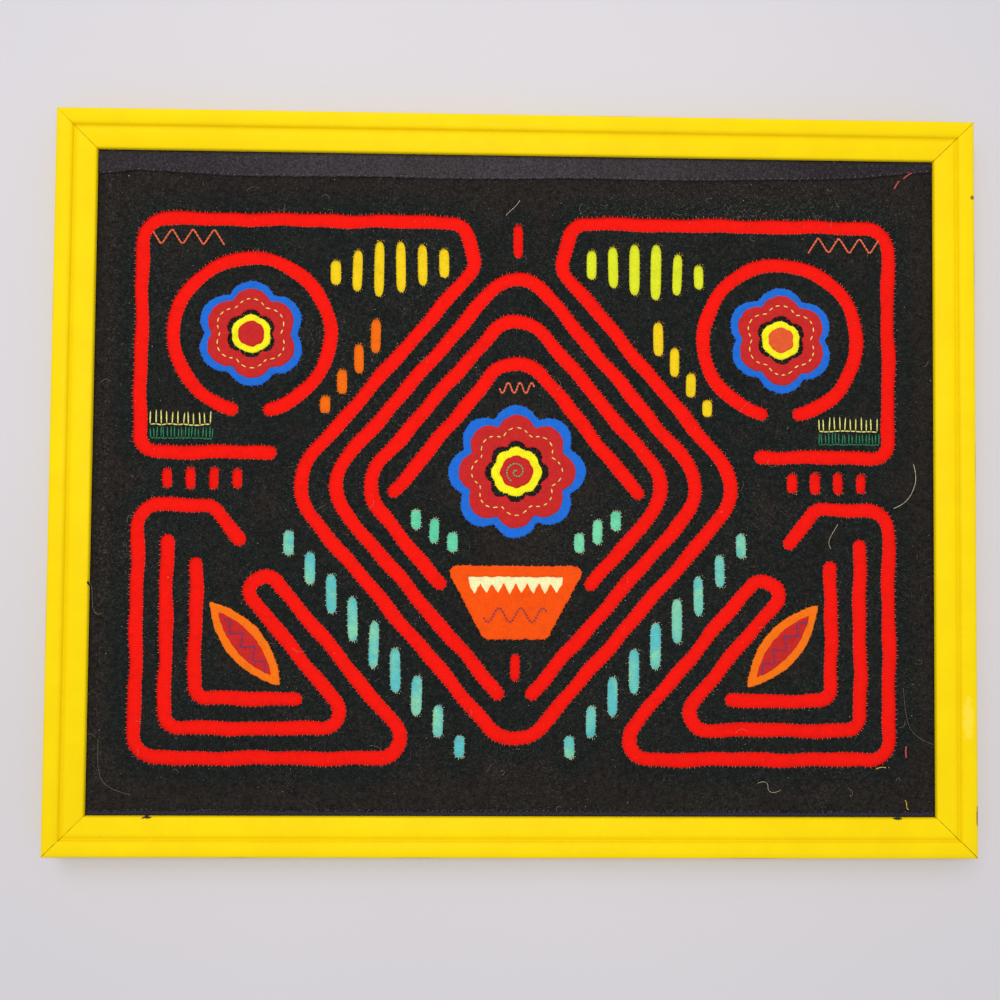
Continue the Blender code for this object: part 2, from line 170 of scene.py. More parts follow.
POT = ((29, -34, 3), (22.5, -46, 5), (13, -64, 4))
TEETH = 8
TOOTH_PITCH = 4.8
TOOTH_DEPTH = 4.2
TRIM_TOP = -38.5
TRIM_HEIGHT = 2.6
LEAF_CENTRE = (109.7, -66.2)
LEAF_ANGLE = 0.86
LEAF_SIZE = (44.0, 15.5)
LEAF_MIDDLE_SIZE = (33.0, 8.8)
LEAF_FULLNESS = 0.8

# Lower edge of the strip sewn along the top. Columns: x, y
STRIP_EDGE = (
    (-172.5, 125.0),
    (-156, 126.8),
    (-118, 125.7),
    (0, 125.4),
    (80, 126.2),
    (118, 127.1),
    (143, 128.6),
    (160, 130.6),
    (172.5, 131.4),
)
STRIP_WAVES = ((39.0, 0.3, 1.0), (14.0, 0.25, 0.0))
STRIP_SEAM = -156.6
# How deep the strip's colour is. Columns: x, share of the deeper colour
STRIP_SHADE = ((-172.5, 0.9), (-157.2, 0.75), (-156, 0.7), (-125, 0.65), (-85, 0.2), (0, 0.0), (70, 0.35), (112, 0.95), (172.5, 1.4))
GROUND_TOP_EDGE = 133.0
HEM_LINE = -134.2

# Creases down the sides of the ground cloth. Columns: x, y
LEFT_CREASE = (
    (-169.8, -136), (-168.1, -76.6), (-167.7, -46.1), (-167.5, 14.9), (-166.7, 35.2), (-165.7, 55.6), (-167.1, 124.7),
)
RIGHT_CREASE = (
    (160.0, -136), (161.5, -99.3), (162.4, -57.9), (163.4, -26.9), (164.2, 0), (166.4, 39.3), (168.4, 61.3), (172, 120),
)

# Threads and hairs left on the cloth. Columns: thread, radius, points
STRAYS = (
    ("cream_thread", 0.08, ((164.2, 9.1), (165.6, 4.1), (164.6, -0.8), (162.1, -5.4), (159.2, -7.9), (155.9, -9.2))),
    ("lint", 0.05, ((-167.9, -105), (-168.3, -117.2), (-166.3, -122.9), (-161.8, -125.3), (-154.5, -127.3))),
    ("lint", 0.05, ((159.6, -82.8), (160.4, -95.2), (162.3, -101.4), (167.6, -104.2), (172, -105.9))),
    ("lint", 0.06, ((-173, -41.6), (-171.3, -42.4), (-172.2, -53.8), (-169.4, -55.5), (-166.9, -54.2))),
    ("maroon_thread", 0.30, ((156.6, 124), (157.6, 126), (158.6, 127.2))),
    ("maroon_thread", 0.30, ((160.4, 128.2), (163, 130.6), (165.2, 131.6), (167.2, 132))),
    ("maroon_thread", 0.28, ((160.7, -106.7), (160.2, -109.2), (160.7, -111.2))),
    ("gold_thread", 0.16, ((160.2, -128.6), (161.4, -130), (160, -131.6), (161.6, -132.4))),
    ("cream_thread", 0.055, ((99.5, -122), (102, -120.6), (104.5, -122.4), (103, -124.6), (106, -126.4), (109, -124.6))),
    ("cream_thread", 0.06, ((132.7, -16), (130.2, -20.5), (127.7, -22.8), (129.8, -26))),
    ("cream_thread", 0.06, ((0.6, 117), (-0.6, 114.2), (-3.4, 112.9), (-5, 110.6))),
    ("gold_thread", 0.16, ((148.2, -116), (150, -114.8), (152.2, -115.4))),
)
HAIRS = 70
TUFTS = ((-147.1, -135.6), (156.1, -135.4), (-172.6, -42.1))
FLECKS = 2600

# Photograph's view. The point is the middle of the sight opening, on the sight edge
CAMERA_TURN = (-1.463, -1.015, 0.485)
CAMERA_SHIFT = (6.73, -7.09, 346.96)
FOCAL_SHARE = 0.85
SENSOR = 36.0

# Columns: red, green, blue, linear
CLOTHS = {
    "red": (1.0, 0.0075, 0.0022),
    "black": (0.0165, 0.0128, 0.0112),
    "violet_grey": (0.052, 0.043, 0.0455),
    "lime": (0.78, 0.84, 0.022),
    "gold": (1.0, 0.66, 0.010),
    "orange": (1.0, 0.16, 0.004),
    "deep_orange": (1.0, 0.088, 0.003),
    "mint": (0.13, 0.66, 0.38),
    "turquoise": (0.12, 0.56, 0.56),
    "blue": (0.014, 0.152, 0.67),
    "maroon": (0.58, 0.021, 0.019),
    "coral": (0.82, 0.11, 0.03),
    "yellow": (1.0, 0.90, 0.012),
    "orange_border": (1.0, 0.18, 0.005),
    "cream": (1.0, 0.94, 0.48),
}
# Lint worked into the weave
LINT_FILM = (0.085, 0.074, 0.055)
# The same cloths where they look deeper: black crowded by bands, and the ends of the strip
DEEPER = {"black": (0.0050, 0.0108, 0.0101), "violet_grey": (0.019, 0.0145, 0.020)}
# The other colour of the cloths that are unevenly dyed or faded
PATCHY = {"violet_grey": (0.060, 0.050, 0.062), "turquoise": (0.25, 0.66, 0.42), "mint": (0.22, 0.74, 0.42)}
THREADS = {
    "red_thread": (0.88, 0.12, 0.08),
    "blue_thread": (0.10, 0.27, 0.75),
    "maroon_thread": (0.60, 0.07, 0.07),
    "yellow_thread": (1.0, 0.86, 0.20),
    "gold_thread": (0.80, 0.50, 0.05),
    "orange_thread": (1.0, 0.30, 0.03),
    "green_thread": (0.010, 0.20, 0.085),
    "sage_thread": (0.22, 0.38, 0.15),
    "plum_thread": (0.16, 0.05, 0.09),
    "navy_thread": (0.085, 0.035, 0.20),
    "hem_thread": (0.0105, 0.0085, 0.028),
    "coral_thread": (0.86, 0.14, 0.05),
    "violet_thread": (0.15, 0.12, 0.18),
    "cream_thread": (0.95, 0.86, 0.50),
    "black_thread": (0.012, 0.010, 0.010),
    "lint": (0.24, 0.21, 0.155),
}


# Materials


def new_material(name):
    made = bpy.data.materials.new(name)
    made.use_nodes = True
    shader = made.node_tree.nodes["Principled BSDF"]
    return made, made.node_tree, shader


def node(tree, kind, **values):
    made = tree.nodes.new(kind)
    for key, value in values.items():
        setattr(made, key, value)
    return made


def places(tree):
    return node(tree, "ShaderNodeTexCoord").outputs["Object"]


def noise(tree, place, scale, detail=3.0, roughness=0.6, stretch=None):
    if stretch:
        turn = node(tree, "ShaderNodeMapping")
        turn.inputs["Scale"].default_value = stretch
        tree.links.new(place, turn.inputs["Vector"])
        place = turn.outputs["Vector"]
    made = node(tree, "ShaderNodeTexNoise")
    made.inputs["Scale"].default_value = scale
    made.inputs["Detail"].default_value = detail
    made.inputs["Roughness"].default_value = roughness
    tree.links.new(place, made.inputs["Vector"])
    return made.outputs["Fac"]


def spread(tree, value, low, high, to_low=0.0, to_high=1.0):
    made = node(tree, "ShaderNodeMapRange")
    made.interpolation_type = "SMOOTHSTEP"
    for key, number in (("From Min", low), ("From Max", high), ("To Min", to_low), ("To Max", to_high)):
        made.inputs[key].default_value = number
    tree.links.new(value, made.inputs["Value"])
    return made.outputs["Result"]


def math_node(tree, operation, first, second=None, third=None):
    made = node(tree, "ShaderNodeMath", operation=operation)
    for socket, value in zip(made.inputs, (first, second, third)):
        if value is None:
            continue
        if isinstance(value, (int, float)):
            socket.default_value = value
        else:
            tree.links.new(value, socket)
    return made.outputs[0]


def blend_colours(tree, share, first, second, kind="MIX"):
    made = node(tree, "ShaderNodeMix", data_type="RGBA", blend_type=kind)
    if isinstance(share, (int, float)):
        made.inputs["Factor"].default_value = share
    else:
        tree.links.new(share, made.inputs["Factor"])
    for socket, value in ((made.inputs[6], first), (made.inputs[7], second)):
        if isinstance(value, tuple):
            socket.default_value = (*value[:3], 1.0)
        else:
            tree.links.new(value, socket)
    return made.outputs[2]


def bump(tree, height, strength, distance, under=None):
    made = node(tree, "ShaderNodeBump")
    made.inputs["Strength"].default_value = strength
    made.inputs["Distance"].default_value = distance
    tree.links.new(height, made.inputs["Height"])
    if under is not None:
        tree.links.new(under, made.inputs["Normal"])
    return made.outputs["Normal"]


def tinted(colour, times):
    return tuple(min(1.0, value * times) for value in colour)


def cotton(name, colour, lint=0.0, shaded_share=0.84, deeper=None, patchy=None):
    """Plain cotton: threads both ways painted lighter and darker as lit and shaded yarn, slubs, a slightly uneven
    colour, painted shade in fine creases where there is no lint and, on the dark cloth, caught lint.
    """
    made, tree, shader = new_material(name)
    place = places(tree)
    warp = noise(tree, place, 1.0, 2.0, 0.5, (3300, 420, 900))
    weft = noise(tree, place, 1.0, 2.0, 0.5, (420, 3300, 900))
    threads = math_node(tree, "ADD", warp, weft)
    slubs = noise(tree, place, 700.0, 3.0, 0.65)
    fading = noise(tree, place, 55.0, 4.0, 0.6)
    # Lit and shaded copies of each colour: the threads below are painted between them as painted highlight and shade.
    light, deep = tinted(colour, 1.06), tinted(colour, shaded_share)
    if patchy:
        clouds = noise(tree, place, 36.0, 3.0, 0.6, (1.0, 0.3, 1.0)) if lint else noise(tree, place, 85.0, 2.0, 0.5)
        share = spread(tree, clouds, 0.38, 0.62)
        light = blend_colours(tree, share, light, tinted(patchy, 1.1))
        deep = blend_colours(tree, share, deep, tinted(patchy, shaded_share))
    if patchy and lint:
        streaks = spread(tree, noise(tree, place, 1.0, 3.0, 0.7, (430, 70, 1)), 0.42, 0.62)
        deep = blend_colours(tree, streaks, deep, tinted(patchy, 0.4))
    if deeper:
        near = node(tree, "ShaderNodeAttribute", attribute_name="deeper").outputs["Fac"]
        share = math_node(tree, "MULTIPLY", near, spread(tree, fading, 0.2, 0.7, 1.0, 0.8))
        light = blend_colours(tree, share, light, tinted(deeper, 1.06))
        deep = blend_colours(tree, share, deep, tinted(deeper, shaded_share))
    # Painted highlight and shade of the weave: thread crowns take the lit copy, the gaps take the shaded one.
    body = blend_colours(tree, spread(tree, threads, 0.75, 1.3), deep, light)
    body = blend_colours(tree, spread(tree, slubs, 0.56, 0.74, 0.0, 0.3), body, tinted(colour, 1.35))
    body = blend_colours(tree, spread(tree, fading, 0.35, 0.7, 0.0, 0.2), body, tinted(colour, 0.82))
    if not lint:
        # Painted shade in fine creases: wandering darker lines on the cloths without lint.
        crease_shade = noise(tree, place, 230.0, 3.0, 0.7)
        body = blend_colours(tree, spread(tree, crease_shade, 0.50, 0.30, 0.0, 0.45), body, tinted(colour, 0.68))
    if lint:
        mottle = noise(tree, place, 620.0 if not patchy else 1300.0, 3.0, 0.75)
        body = blend_colours(tree, spread(tree, mottle, 0.56, 0.30, 0.0, 0.9), body, tinted(colour, 0.25))
        body = blend_colours(tree, spread(tree, mottle, 0.52, 0.70, 0.0, 0.65), body, tinted(colour, 1.75))
        flecks = noise(tree, place, 1350.0, 3.0, 0.75)
        dust = noise(tree, place, 30.0, 4.0, 0.75)
        linty = node(tree, "ShaderNodeAttribute", attribute_name="linty").outputs["Fac"]
        share = math_node(tree, "ADD", spread(tree, dust, 0.40, 0.68, 0.35, 0.9), linty)
        shown = math_node(tree, "MULTIPLY", spread(tree, flecks, 0.52, 0.72), share)
        shown = math_node(tree, "MINIMUM", math_node(tree, "MULTIPLY", shown, lint), 1.0)
        body = blend_colours(tree, shown, body, LINT_FILM)
    tree.links.new(body, shader.inputs["Base Color"])
    height = math_node(tree, "ADD", threads, math_node(tree, "MULTIPLY", slubs, 0.8))
    tree.links.new(bump(tree, height, 0.5, 0.0002), shader.inputs["Normal"])
    shader.inputs["Roughness"].default_value = 0.92
    shader.inputs["Specular IOR Level"].default_value = 0.12
    shader.inputs["Sheen Weight"].default_value = 0.03
    shader.inputs["Sheen Roughness"].default_value = 0.5
    return made


def twist(name, colour):
    """Stranded sewing thread, its strands painted lighter and darker as lit and shaded twist."""
    made, tree, shader = new_material(name)
    place = places(tree)
    strands = noise(tree, place, 2400.0, 2.0, 0.6)
    dye = noise(tree, place, 260.0, 2.0, 0.6)
    # Painted highlight and shade of the strands: a lit copy on their crowns, a shaded copy between them.
    body = blend_colours(tree, spread(tree, strands, 0.38, 0.62), tinted(colour, 0.6), tinted(colour, 1.25))
    body = blend_colours(tree, spread(tree, dye, 0.5, 0.7, 0.0, 0.45), body, tinted(colour, 0.5))
    tree.links.new(body, shader.inputs["Base Color"])
    tree.links.new(bump(tree, strands, 0.6, 0.0001), shader.inputs["Normal"])
    shader.inputs["Roughness"].default_value = 0.6
    shader.inputs["Specular IOR Level"].default_value = 0.35
    shader.inputs["Sheen Weight"].default_value = 0.1
    return made


# Marks on the paint. Columns: x, y, half width, half height
SCUFFS = (
    (187.6, 92.0, 0.3, 9.0), (187.7, 70.0, 0.25, 12.0), (187.6, 10.0, 0.3, 8.0), (186.6, 118.8, 0.9, 0.8),
    (173.3, 27.5, 0.35, 0.7), (187.2, -133.0, 0.45, 4.0), (165.6, -139.4, 0.5, 0.4), (-165.0, -143.0, 0.9, 0.35),
    (-40.0, -150.6, 9.0, 0.25), (95.0, -150.6, 14.0, 0.25), (-187.7, -60.0, 0.25, 16.0), (-110.0, -150.6, 6.0, 0.25),
    (40.0, 150.6, 12.0, 0.25), (-187.7, 70.0, 0.25, 9.0),
)
# Wear keeps to the arris at the face, over this level
WORN_ABOVE = (10.7, 11.3)
# Where the paint was touched up
PATCHED_PAINT = (183.8, -94.0, 2.0, 8.0)


def oval(tree, apart, x, y, half_width, half_height, ragged):
    """1 inside an oval with a ragged edge, 0 outside."""
    across = math_node(tree, "DIVIDE", math_node(tree, "SUBTRACT", apart["X"], x * MM), half_width * MM)
    up = math_node(tree, "DIVIDE", math_node(tree, "SUBTRACT", apart["Y"], y * MM), half_height * MM)
    reach = math_node(tree, "ADD", math_node(tree, "MULTIPLY", across, across), math_node(tree, "MULTIPLY", up, up))
    return spread(tree, math_node(tree, "ADD", reach, ragged), 1.5, 0.7)


# How dark each mitre's line is. Columns: side in x, side in y, at the sight edge, at the outer corner
MITRES = ((1, -1, 0.8, 1.0), (-1, -1, 0.45, 0.7), (-1, 1, 0.5, 0.12), (1, 1, 0.6, 0.5))


def gloss_paint():
    """Thick gloss yellow brushed over wood: orange peel, a little dirt in the mitres, dust and painted shade in the
    hollow, rubbed corners.
    """
    made, tree, shader = new_material("gloss_yellow_paint")
    place = places(tree)
    apart = node(tree, "ShaderNodeSeparateXYZ")
    tree.links.new(place, apart.inputs["Vector"])
    sides = apart.outputs
    mottle = noise(tree, place, 60.0, 4.0, 0.6)
    grime = noise(tree, place, 420.0, 3.0, 0.65)
    body = blend_colours(tree, spread(tree, mottle, 0.3, 0.72), (0.94, 0.665, 0.002), (0.97, 0.71, 0.002))
    body = blend_colours(tree, spread(tree, grime, 0.62, 0.78, 0.0, 0.12), body, (0.80, 0.52, 0.004))

    out_x = math_node(tree, "SUBTRACT", math_node(tree, "ABSOLUTE", sides["X"]), SIGHT_WIDTH / 2 * MM)
    out_y = math_node(tree, "SUBTRACT", math_node(tree, "ABSOLUTE", sides["Y"]), SIGHT_HEIGHT / 2 * MM)
    out = math_node(tree, "MAXIMUM", out_x, out_y)

    # The hollow beside the bead is darkened with a little dust and painted shade, deepest at its foot
    start, foot, end = (value * MM for value in HOLLOW)
    dust_and_hollow_shade = math_node(tree, "MULTIPLY", spread(tree, out, start, foot), spread(tree, out, end, foot))
    dust_and_hollow_shade = math_node(tree, "MULTIPLY", dust_and_hollow_shade, spread(tree, grime, 0.3, 0.7, 0.35, 0.55))
    body = blend_colours(tree, dust_and_hollow_shade, body, (0.80, 0.56, 0.002))

    # The mitres' thin dark lines, each with its own wear
    from_mitre = math_node(tree, "ABSOLUTE", math_node(tree, "SUBTRACT", out_x, out_y))
    waver = math_node(tree, "MULTIPLY", math_node(tree, "SUBTRACT", grime, 0.5), 0.0006)
    line = spread(tree, math_node(tree, "ADD", from_mitre, waver), 0.24 * MM, 0.05 * MM)
    strength = None
    for side_x, side_y, near, far in MITRES:
        here_x = math_node(tree, "GREATER_THAN", math_node(tree, "MULTIPLY", sides["X"], side_x), 0.0)
        here_y = math_node(tree, "GREATER_THAN", math_node(tree, "MULTIPLY", sides["Y"], side_y), 0.0)
        fade = spread(tree, out, 2.0 * MM, 12.0 * MM, near, far)
        here = math_node(tree, "MULTIPLY", math_node(tree, "MULTIPLY", here_x, here_y), fade)
        strength = here if strength is None else math_node(tree, "ADD", strength, here)
    body = blend_colours(tree, math_node(tree, "MULTIPLY", line, strength), body, (0.09, 0.045, 0.010))

    ragged = math_node(tree, "MULTIPLY", math_node(tree, "SUBTRACT", grime, 0.5), 3.2)
    touched_up = oval(tree, sides, *PATCHED_PAINT, ragged)
    body = blend_colours(tree, math_node(tree, "MULTIPLY", touched_up, 0.35), body, (1.0, 0.82, 0.12))
    worn = None
    for mark in SCUFFS:
        here = oval(tree, sides, *mark, ragged)
        worn = here if worn is None else math_node(tree, "MAXIMUM", worn, here)
    edge = spread(tree, out, (FACE_WIDTH - 0.4) * MM, (FACE_WIDTH - 0.05) * MM)
    rubbed_edge = math_node(tree, "MULTIPLY", edge, spread(tree, grime, 0.46, 0.62))
    near_top = spread(tree, sides["Z"], *(level * MM for level in WORN_ABOVE))
    at_arris = math_node(tree, "MULTIPLY", math_node(tree, "MAXIMUM", worn, rubbed_edge), near_top)
    low_edge = spread(tree, math_node(tree, "ADD", sides["Z"], waver), 0.7 * MM, 0.2 * MM, 0.0, 0.6)
    bare = math_node(tree, "MAXIMUM", at_arris, low_edge)
    body = blend_colours(tree, math_node(tree, "MULTIPLY", bare, 0.8), body, (0.16, 0.075, 0.02))
    tree.links.new(body, shader.inputs["Base Color"])

    peel = noise(tree, place, 850.0, 2.0, 0.5)
    runs = noise(tree, place, 130.0, 2.0, 0.5)
    height = math_node(tree, "ADD", math_node(tree, "MULTIPLY", peel, 0.25), runs)
    height = math_node(tree, "SUBTRACT", height, math_node(tree, "MULTIPLY", bare, 0.5))
    tree.links.new(bump(tree, height, 0.3, 0.0003), shader.inputs["Normal"])
    gloss = spread(tree, grime, 0.3, 0.75, 0.38, 0.5)
    tree.links.new(math_node(tree, "ADD", gloss, math_node(tree, "MULTIPLY", bare, 0.5)), shader.inputs["Roughness"])
    shader.inputs["Specular IOR Level"].default_value = 0.06
    return made


def bare_wood():
    made, tree, shader = new_material("bare_wood")
    place = places(tree)
    grain = noise(tree, place, 1.0, 4.0, 0.6, (90, 90, 900))
    pores = noise(tree, place, 900.0, 2.0, 0.6)
    body = blend_colours(tree, spread(tree, grain, 0.35, 0.65), (0.42, 0.27, 0.13), (0.60, 0.43, 0.24))
    body = blend_colours(tree, spread(tree, pores, 0.6, 0.75, 0.0, 0.4), body, (0.25, 0.14, 0.06))
    tree.links.new(body, shader.inputs["Base Color"])
    tree.links.new(bump(tree, pores, 0.4, 0.0002), shader.inputs["Normal"])
    shader.inputs["Roughness"].default_value = 0.75
    return made


def hardboard():
    made, tree, shader = new_material("pressed_hardboard")
    place = places(tree)
    fibres = noise(tree, place, 1400.0, 3.0, 0.7)
    blotches = noise(tree, place, 40.0, 3.0, 0.6)
    body = blend_colours(tree, spread(tree, fibres, 0.35, 0.68), (0.13, 0.065, 0.03), (0.27, 0.15, 0.08))
    body = blend_colours(tree, spread(tree, blotches, 0.4, 0.7, 0.0, 0.35), body, (0.16, 0.09, 0.05))
    tree.links.new(body, shader.inputs["Base Color"])
    tree.links.new(bump(tree, fibres, 0.5, 0.0002), shader.inputs["Normal"])
    shader.inputs["Roughness"].default_value = 0.8
    return made


def pale_floor():
    made, tree, shader = new_material("pale_floor")
    place = places(tree)
    cloudy = noise(tree, place, 6.0, 2.0, 0.5)
    body = blend_colours(tree, cloudy, (0.66, 0.63, 0.66), (0.69, 0.66, 0.69))
    tree.links.new(body, shader.inputs["Base Color"])
    shader.inputs["Roughness"].default_value = 0.7
    return made


# Lines cut by hand


def mirrored(points):
    return tuple((-p[0], *p[1:]) for p in points)[::-1]


def rounded_line(corners):
    """An open line through the corners (x, y, radius), its turns rounded."""
    spots = [np.array(corner[:2], float) for corner in corners]
    line = []

    def straight_to(place):
        if line:
            run = place - line[-1]
            steps = max(1, round(float(np.linalg.norm(run)) / STRAIGHT_STEP))
            start = line[-1]
            line.extend(start + run * step / steps for step in range(1, steps))
        line.append(place)

    straight_to(spots[0])
    for before, corner, after, row in zip(spots, spots[1:], spots[2:], corners[1:]):
        back = (before - corner) / np.linalg.norm(before - corner)
        ahead = (after - corner) / np.linalg.norm(after - corner)
        half_angle = math.acos(float(back @ ahead)) / 2
        room = ROOM_PER_CORNER * min(np.linalg.norm(before - corner), np.linalg.norm(after - corner))
        reach = min(row[2] / math.tan(half_angle), room)
        radius = reach * math.tan(half_angle)
        middle = corner + (back + ahead) / np.linalg.norm(back + ahead) * math.hypot(radius, reach)
        first, last = corner + back * reach, corner + ahead * reach
        start = math.atan2(first[1] - middle[1], first[0] - middle[0])
        turn = math.atan2(last[1] - middle[1], last[0] - middle[0]) - start
        turn = (turn + math.pi) % (2 * math.pi) - math.pi
        straight_to(first)
        steps = max(2, math.ceil(abs(turn) / ARC_STEP))
        for step in range(1, steps + 1):
            angle = start + turn * step / steps
            line.append(middle + radius * np.array([math.cos(angle), math.sin(angle)]))
    straight_to(spots[-1])
    return np.array(line)


def ring_line(side):
    angles = np.linspace(RING_OPENING, 2 * math.pi - RING_OPENING, 90) - math.pi / 2
    x = side * RING_CENTRE[0] + RING_RADII[0] * np.cos(angles)
    y = RING_CENTRE[1] + RING_RADII[1] * np.sin(angles)
    return np.stack([x, y], 1)


def distances_along(line):
    return np.concatenate([[0.0], np.cumsum(np.linalg.norm(np.diff(line, axis=0), axis=1))])


def across(line):
    run = np.gradient(line, axis=0)
    run /= np.linalg.norm(run, axis=1)[:, None]
    return np.stack([-run[:, 1], run[:, 0]], 1)


def drifting(line, seed):
    at = distances_along(line)
    waves = max(1, round(at[-1] / WOBBLE_LENGTH))
    phase = 2 * math.pi * at / at[-1]
    drift = sum(share * np.sin((waves * times + more) * phase + step * seed) for times, more, share, step in DRIFT)
    return line + across(line) * (HAND_WOBBLE * drift)[:, None], phase, at[-1]


def band(line, seed):
    line, phase, length = drifting(line, seed)
    swells = max(1, round(length / SWELL_LENGTH))
    half = BAND_WIDTH / 2 * (1 + BAND_SWELL * np.sin(swells * phase + 1.3 * seed))
    side = across(line)
    snips = np.random.default_rng(seed)
    rough = [np.convolve(snips.normal(0, SNIP, len(line)), (0.3, 0.4, 0.3), "same") for _ in range(2)]
    left = line + side * (half + rough[0])[:, None]
    right = line - side * (half + rough[1])[:, None]
    end_cap, start_cap = [], []
    for cap, at_end, way in ((end_cap, -1, 1), (start_cap, 0, -1)):
        out = way * np.array([side[at_end][1], -side[at_end][0]])
        for angle in np.linspace(0, math.pi, 12)[1:-1]:
            turn = way * side[at_end] * math.cos(angle) + out * math.sin(angle)
            cap.append(line[at_end] + half[at_end] * turn)
    return np.concatenate([left, end_cap, right[::-1], start_cap])


def band_lines():
    foot_to_right = OUTER_BAND_FOOT + OUTER_BAND
    return [
        rounded_line(mirrored(OUTER_BAND) + foot_to_right),
        rounded_line(INNER_BAND + INNER_BAND_TIP + mirrored(INNER_BAND)),
        rounded_line(CHEVRON + CHEVRON_TIP + mirrored(CHEVRON)),
        rounded_line(SMALL_CHEVRON + SMALL_CHEVRON_TIP + mirrored(SMALL_CHEVRON)),
        rounded_line(LABYRINTH),
        rounded_line(mirrored(LABYRINTH)),
        rounded_line(HOOK),
        rounded_line(mirrored(HOOK)),
        ring_line(1),
        ring_line(-1),
    ]


def slot_outline(x, y, length):
    up = np.sin(np.linspace(-math.pi / 2, math.pi / 2, 15))
    half = SLOT_WIDTH / 2 * np.sqrt(1 - SLOT_TAPER * np.abs(up) ** SLOT_BLUNTNESS)
    lean = chance.uniform(-0.03, 0.03)
    swell = 1 + chance.uniform(-0.07, 0.07)
    right = np.stack([x + half * swell, y + up * length / 2], 1)
    left = np.stack([x - half[::-1] * swell, y + up[::-1] * length / 2], 1)
    line = np.concatenate([right, left])
    line[:, 0] += (line[:, 1] - y) * lean
    return line


def petal_loop(x, y, radius, petals, notch, seed):
    angles = np.linspace(0, 2 * math.pi, petals * 30, endpoint=False)
    wave = np.cos(petals / 2 * (angles - math.pi / 2)) ** 2
    bulge = ((wave + NOTCH_ROUNDING) / (1 + NOTCH_ROUNDING)) ** PETAL_ROUNDNESS
    hand = 1 + sum(share * np.sin(lobes * angles + step * seed) for lobes, share, step in HAND_CUT)
    reach = radius * (1 - notch + notch * bulge) * hand
    return np.stack([x + reach * np.cos(angles), y + reach * np.sin(angles)], 1)


def saw_teeth():
    half = TEETH * TOOTH_PITCH / 2
    foot = TRIM_TOP - TRIM_HEIGHT
    line = [(half, TRIM_TOP), (-half, TRIM_TOP), (-half, foot)]
    for tooth in range(TEETH):
        left = -half + tooth * TOOTH_PITCH
        line.append((left + TOOTH_PITCH / 2, foot - TOOTH_DEPTH + chance.uniform(-0.3, 0.3)))
        line.append((left + TOOTH_PITCH, foot + chance.uniform(-0.2, 0.2)))
    return np.array(line)


def pot_outline():
    right = rounded_line(((0.0, POT[0][1], 0),) + POT + ((0.0, POT[-1][1], 0),))[1:-1]
    return np.concatenate([right, right[::-1] * (-1, 1)])


def leaf_loop(side, length, width):
    along = 0.5 - 0.5 * np.cos(np.linspace(0, math.pi, 40))
    half = width / 2 * np.sin(math.pi * along) ** LEAF_FULLNESS
    lengthways = (along - 0.5) * length
    upper = np.stack([lengthways, half], 1)
    lower = np.stack([lengthways[::-1], -half[::-1]], 1)[1:-1]
    cos, sin = math.cos(LEAF_ANGLE), math.sin(LEAF_ANGLE)
    line = np.concatenate([upper, lower]) @ np.array([[cos, sin], [-sin, cos]]) + LEAF_CENTRE
    return line * (side, 1)


def even_loop(loop, step):
    """The closed loop with points at even steps, walking anticlockwise."""
    loop = np.asarray(loop, float)
    after = np.roll(loop, -1, 0)
    if (loop[:, 0] * after[:, 1] - after[:, 0] * loop[:, 1]).sum() < 0:
        loop = loop[::-1]
    ring = np.concatenate([loop, loop[:1]])
    at = distances_along(ring)
    count = max(8, round(at[-1] / step))
    spots = np.linspace(0, at[-1], count, endpoint=False)
    return np.stack([np.interp(spots, at, ring[:, 0]), np.interp(spots, at, ring[:, 1])], 1)


def loop_left(loop):
    """Unit vectors to the left of an anticlockwise loop, which is its inside."""
    run = np.roll(loop, -1, 0) - np.roll(loop, 1, 0)
    run /= np.linalg.norm(run, axis=1)[:, None]
    return np.stack([-run[:, 1], run[:, 0]], 1)


def loop_area(loop):
    after = np.roll(loop, -1, 0)
    return abs((loop[:, 0] * after[:, 1] - after[:, 0] * loop[:, 1]).sum()) / 2


def loop_length(loop):
    return float(np.linalg.norm(np.roll(loop, -1, 0) - loop, axis=1).sum())


# Building pieces


def piece(name, points, faces, material, smooth=True):
    mesh = bpy.data.meshes.new(name)
    mesh.from_pydata((np.asarray(points, float) * MM).tolist(), [], [list(map(int, face)) for face in faces])
    mesh.materials.append(material)
    if smooth:
        mesh.shade_smooth()
    made = bpy.data.objects.new(name, mesh)
    bpy.context.scene.collection.objects.link(made)
    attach(made, "root")
    return made


def waves_of_cloth(x, y):
    """How the laid cloth rises and falls a little over the board."""
    return (
        0.10 * np.sin(x / 23.0 + 0.6 * np.sin(y / 31.0))
        + 0.08 * np.sin(y / 19.0 + 0.8 * np.sin(x / 27.0) + 1.0)
        + 0.05 * np.sin((x + 1.7 * y) / 11.0)
        + 0.025 * np.sin(x / 3.7 + y / 9.0) * np.sin(y / 4.3)
    )


def nearest_edge(loops):
    count = sum(len(loop) for loop in loops)
    tree = kdtree.KDTree(count)
    number = 0
    for loop in loops:
        for x, y in loop:
            tree.insert((x, y, 0.0), number)
            number += 1
    tree.balance()
    return tree


def shade(made, name, shares):
    """How far each point of the cloth is deeper or lintier."""
    made.data.attributes.new(name, "FLOAT", "POINT").data.foreach_set("value", np.asarray(shares, float))


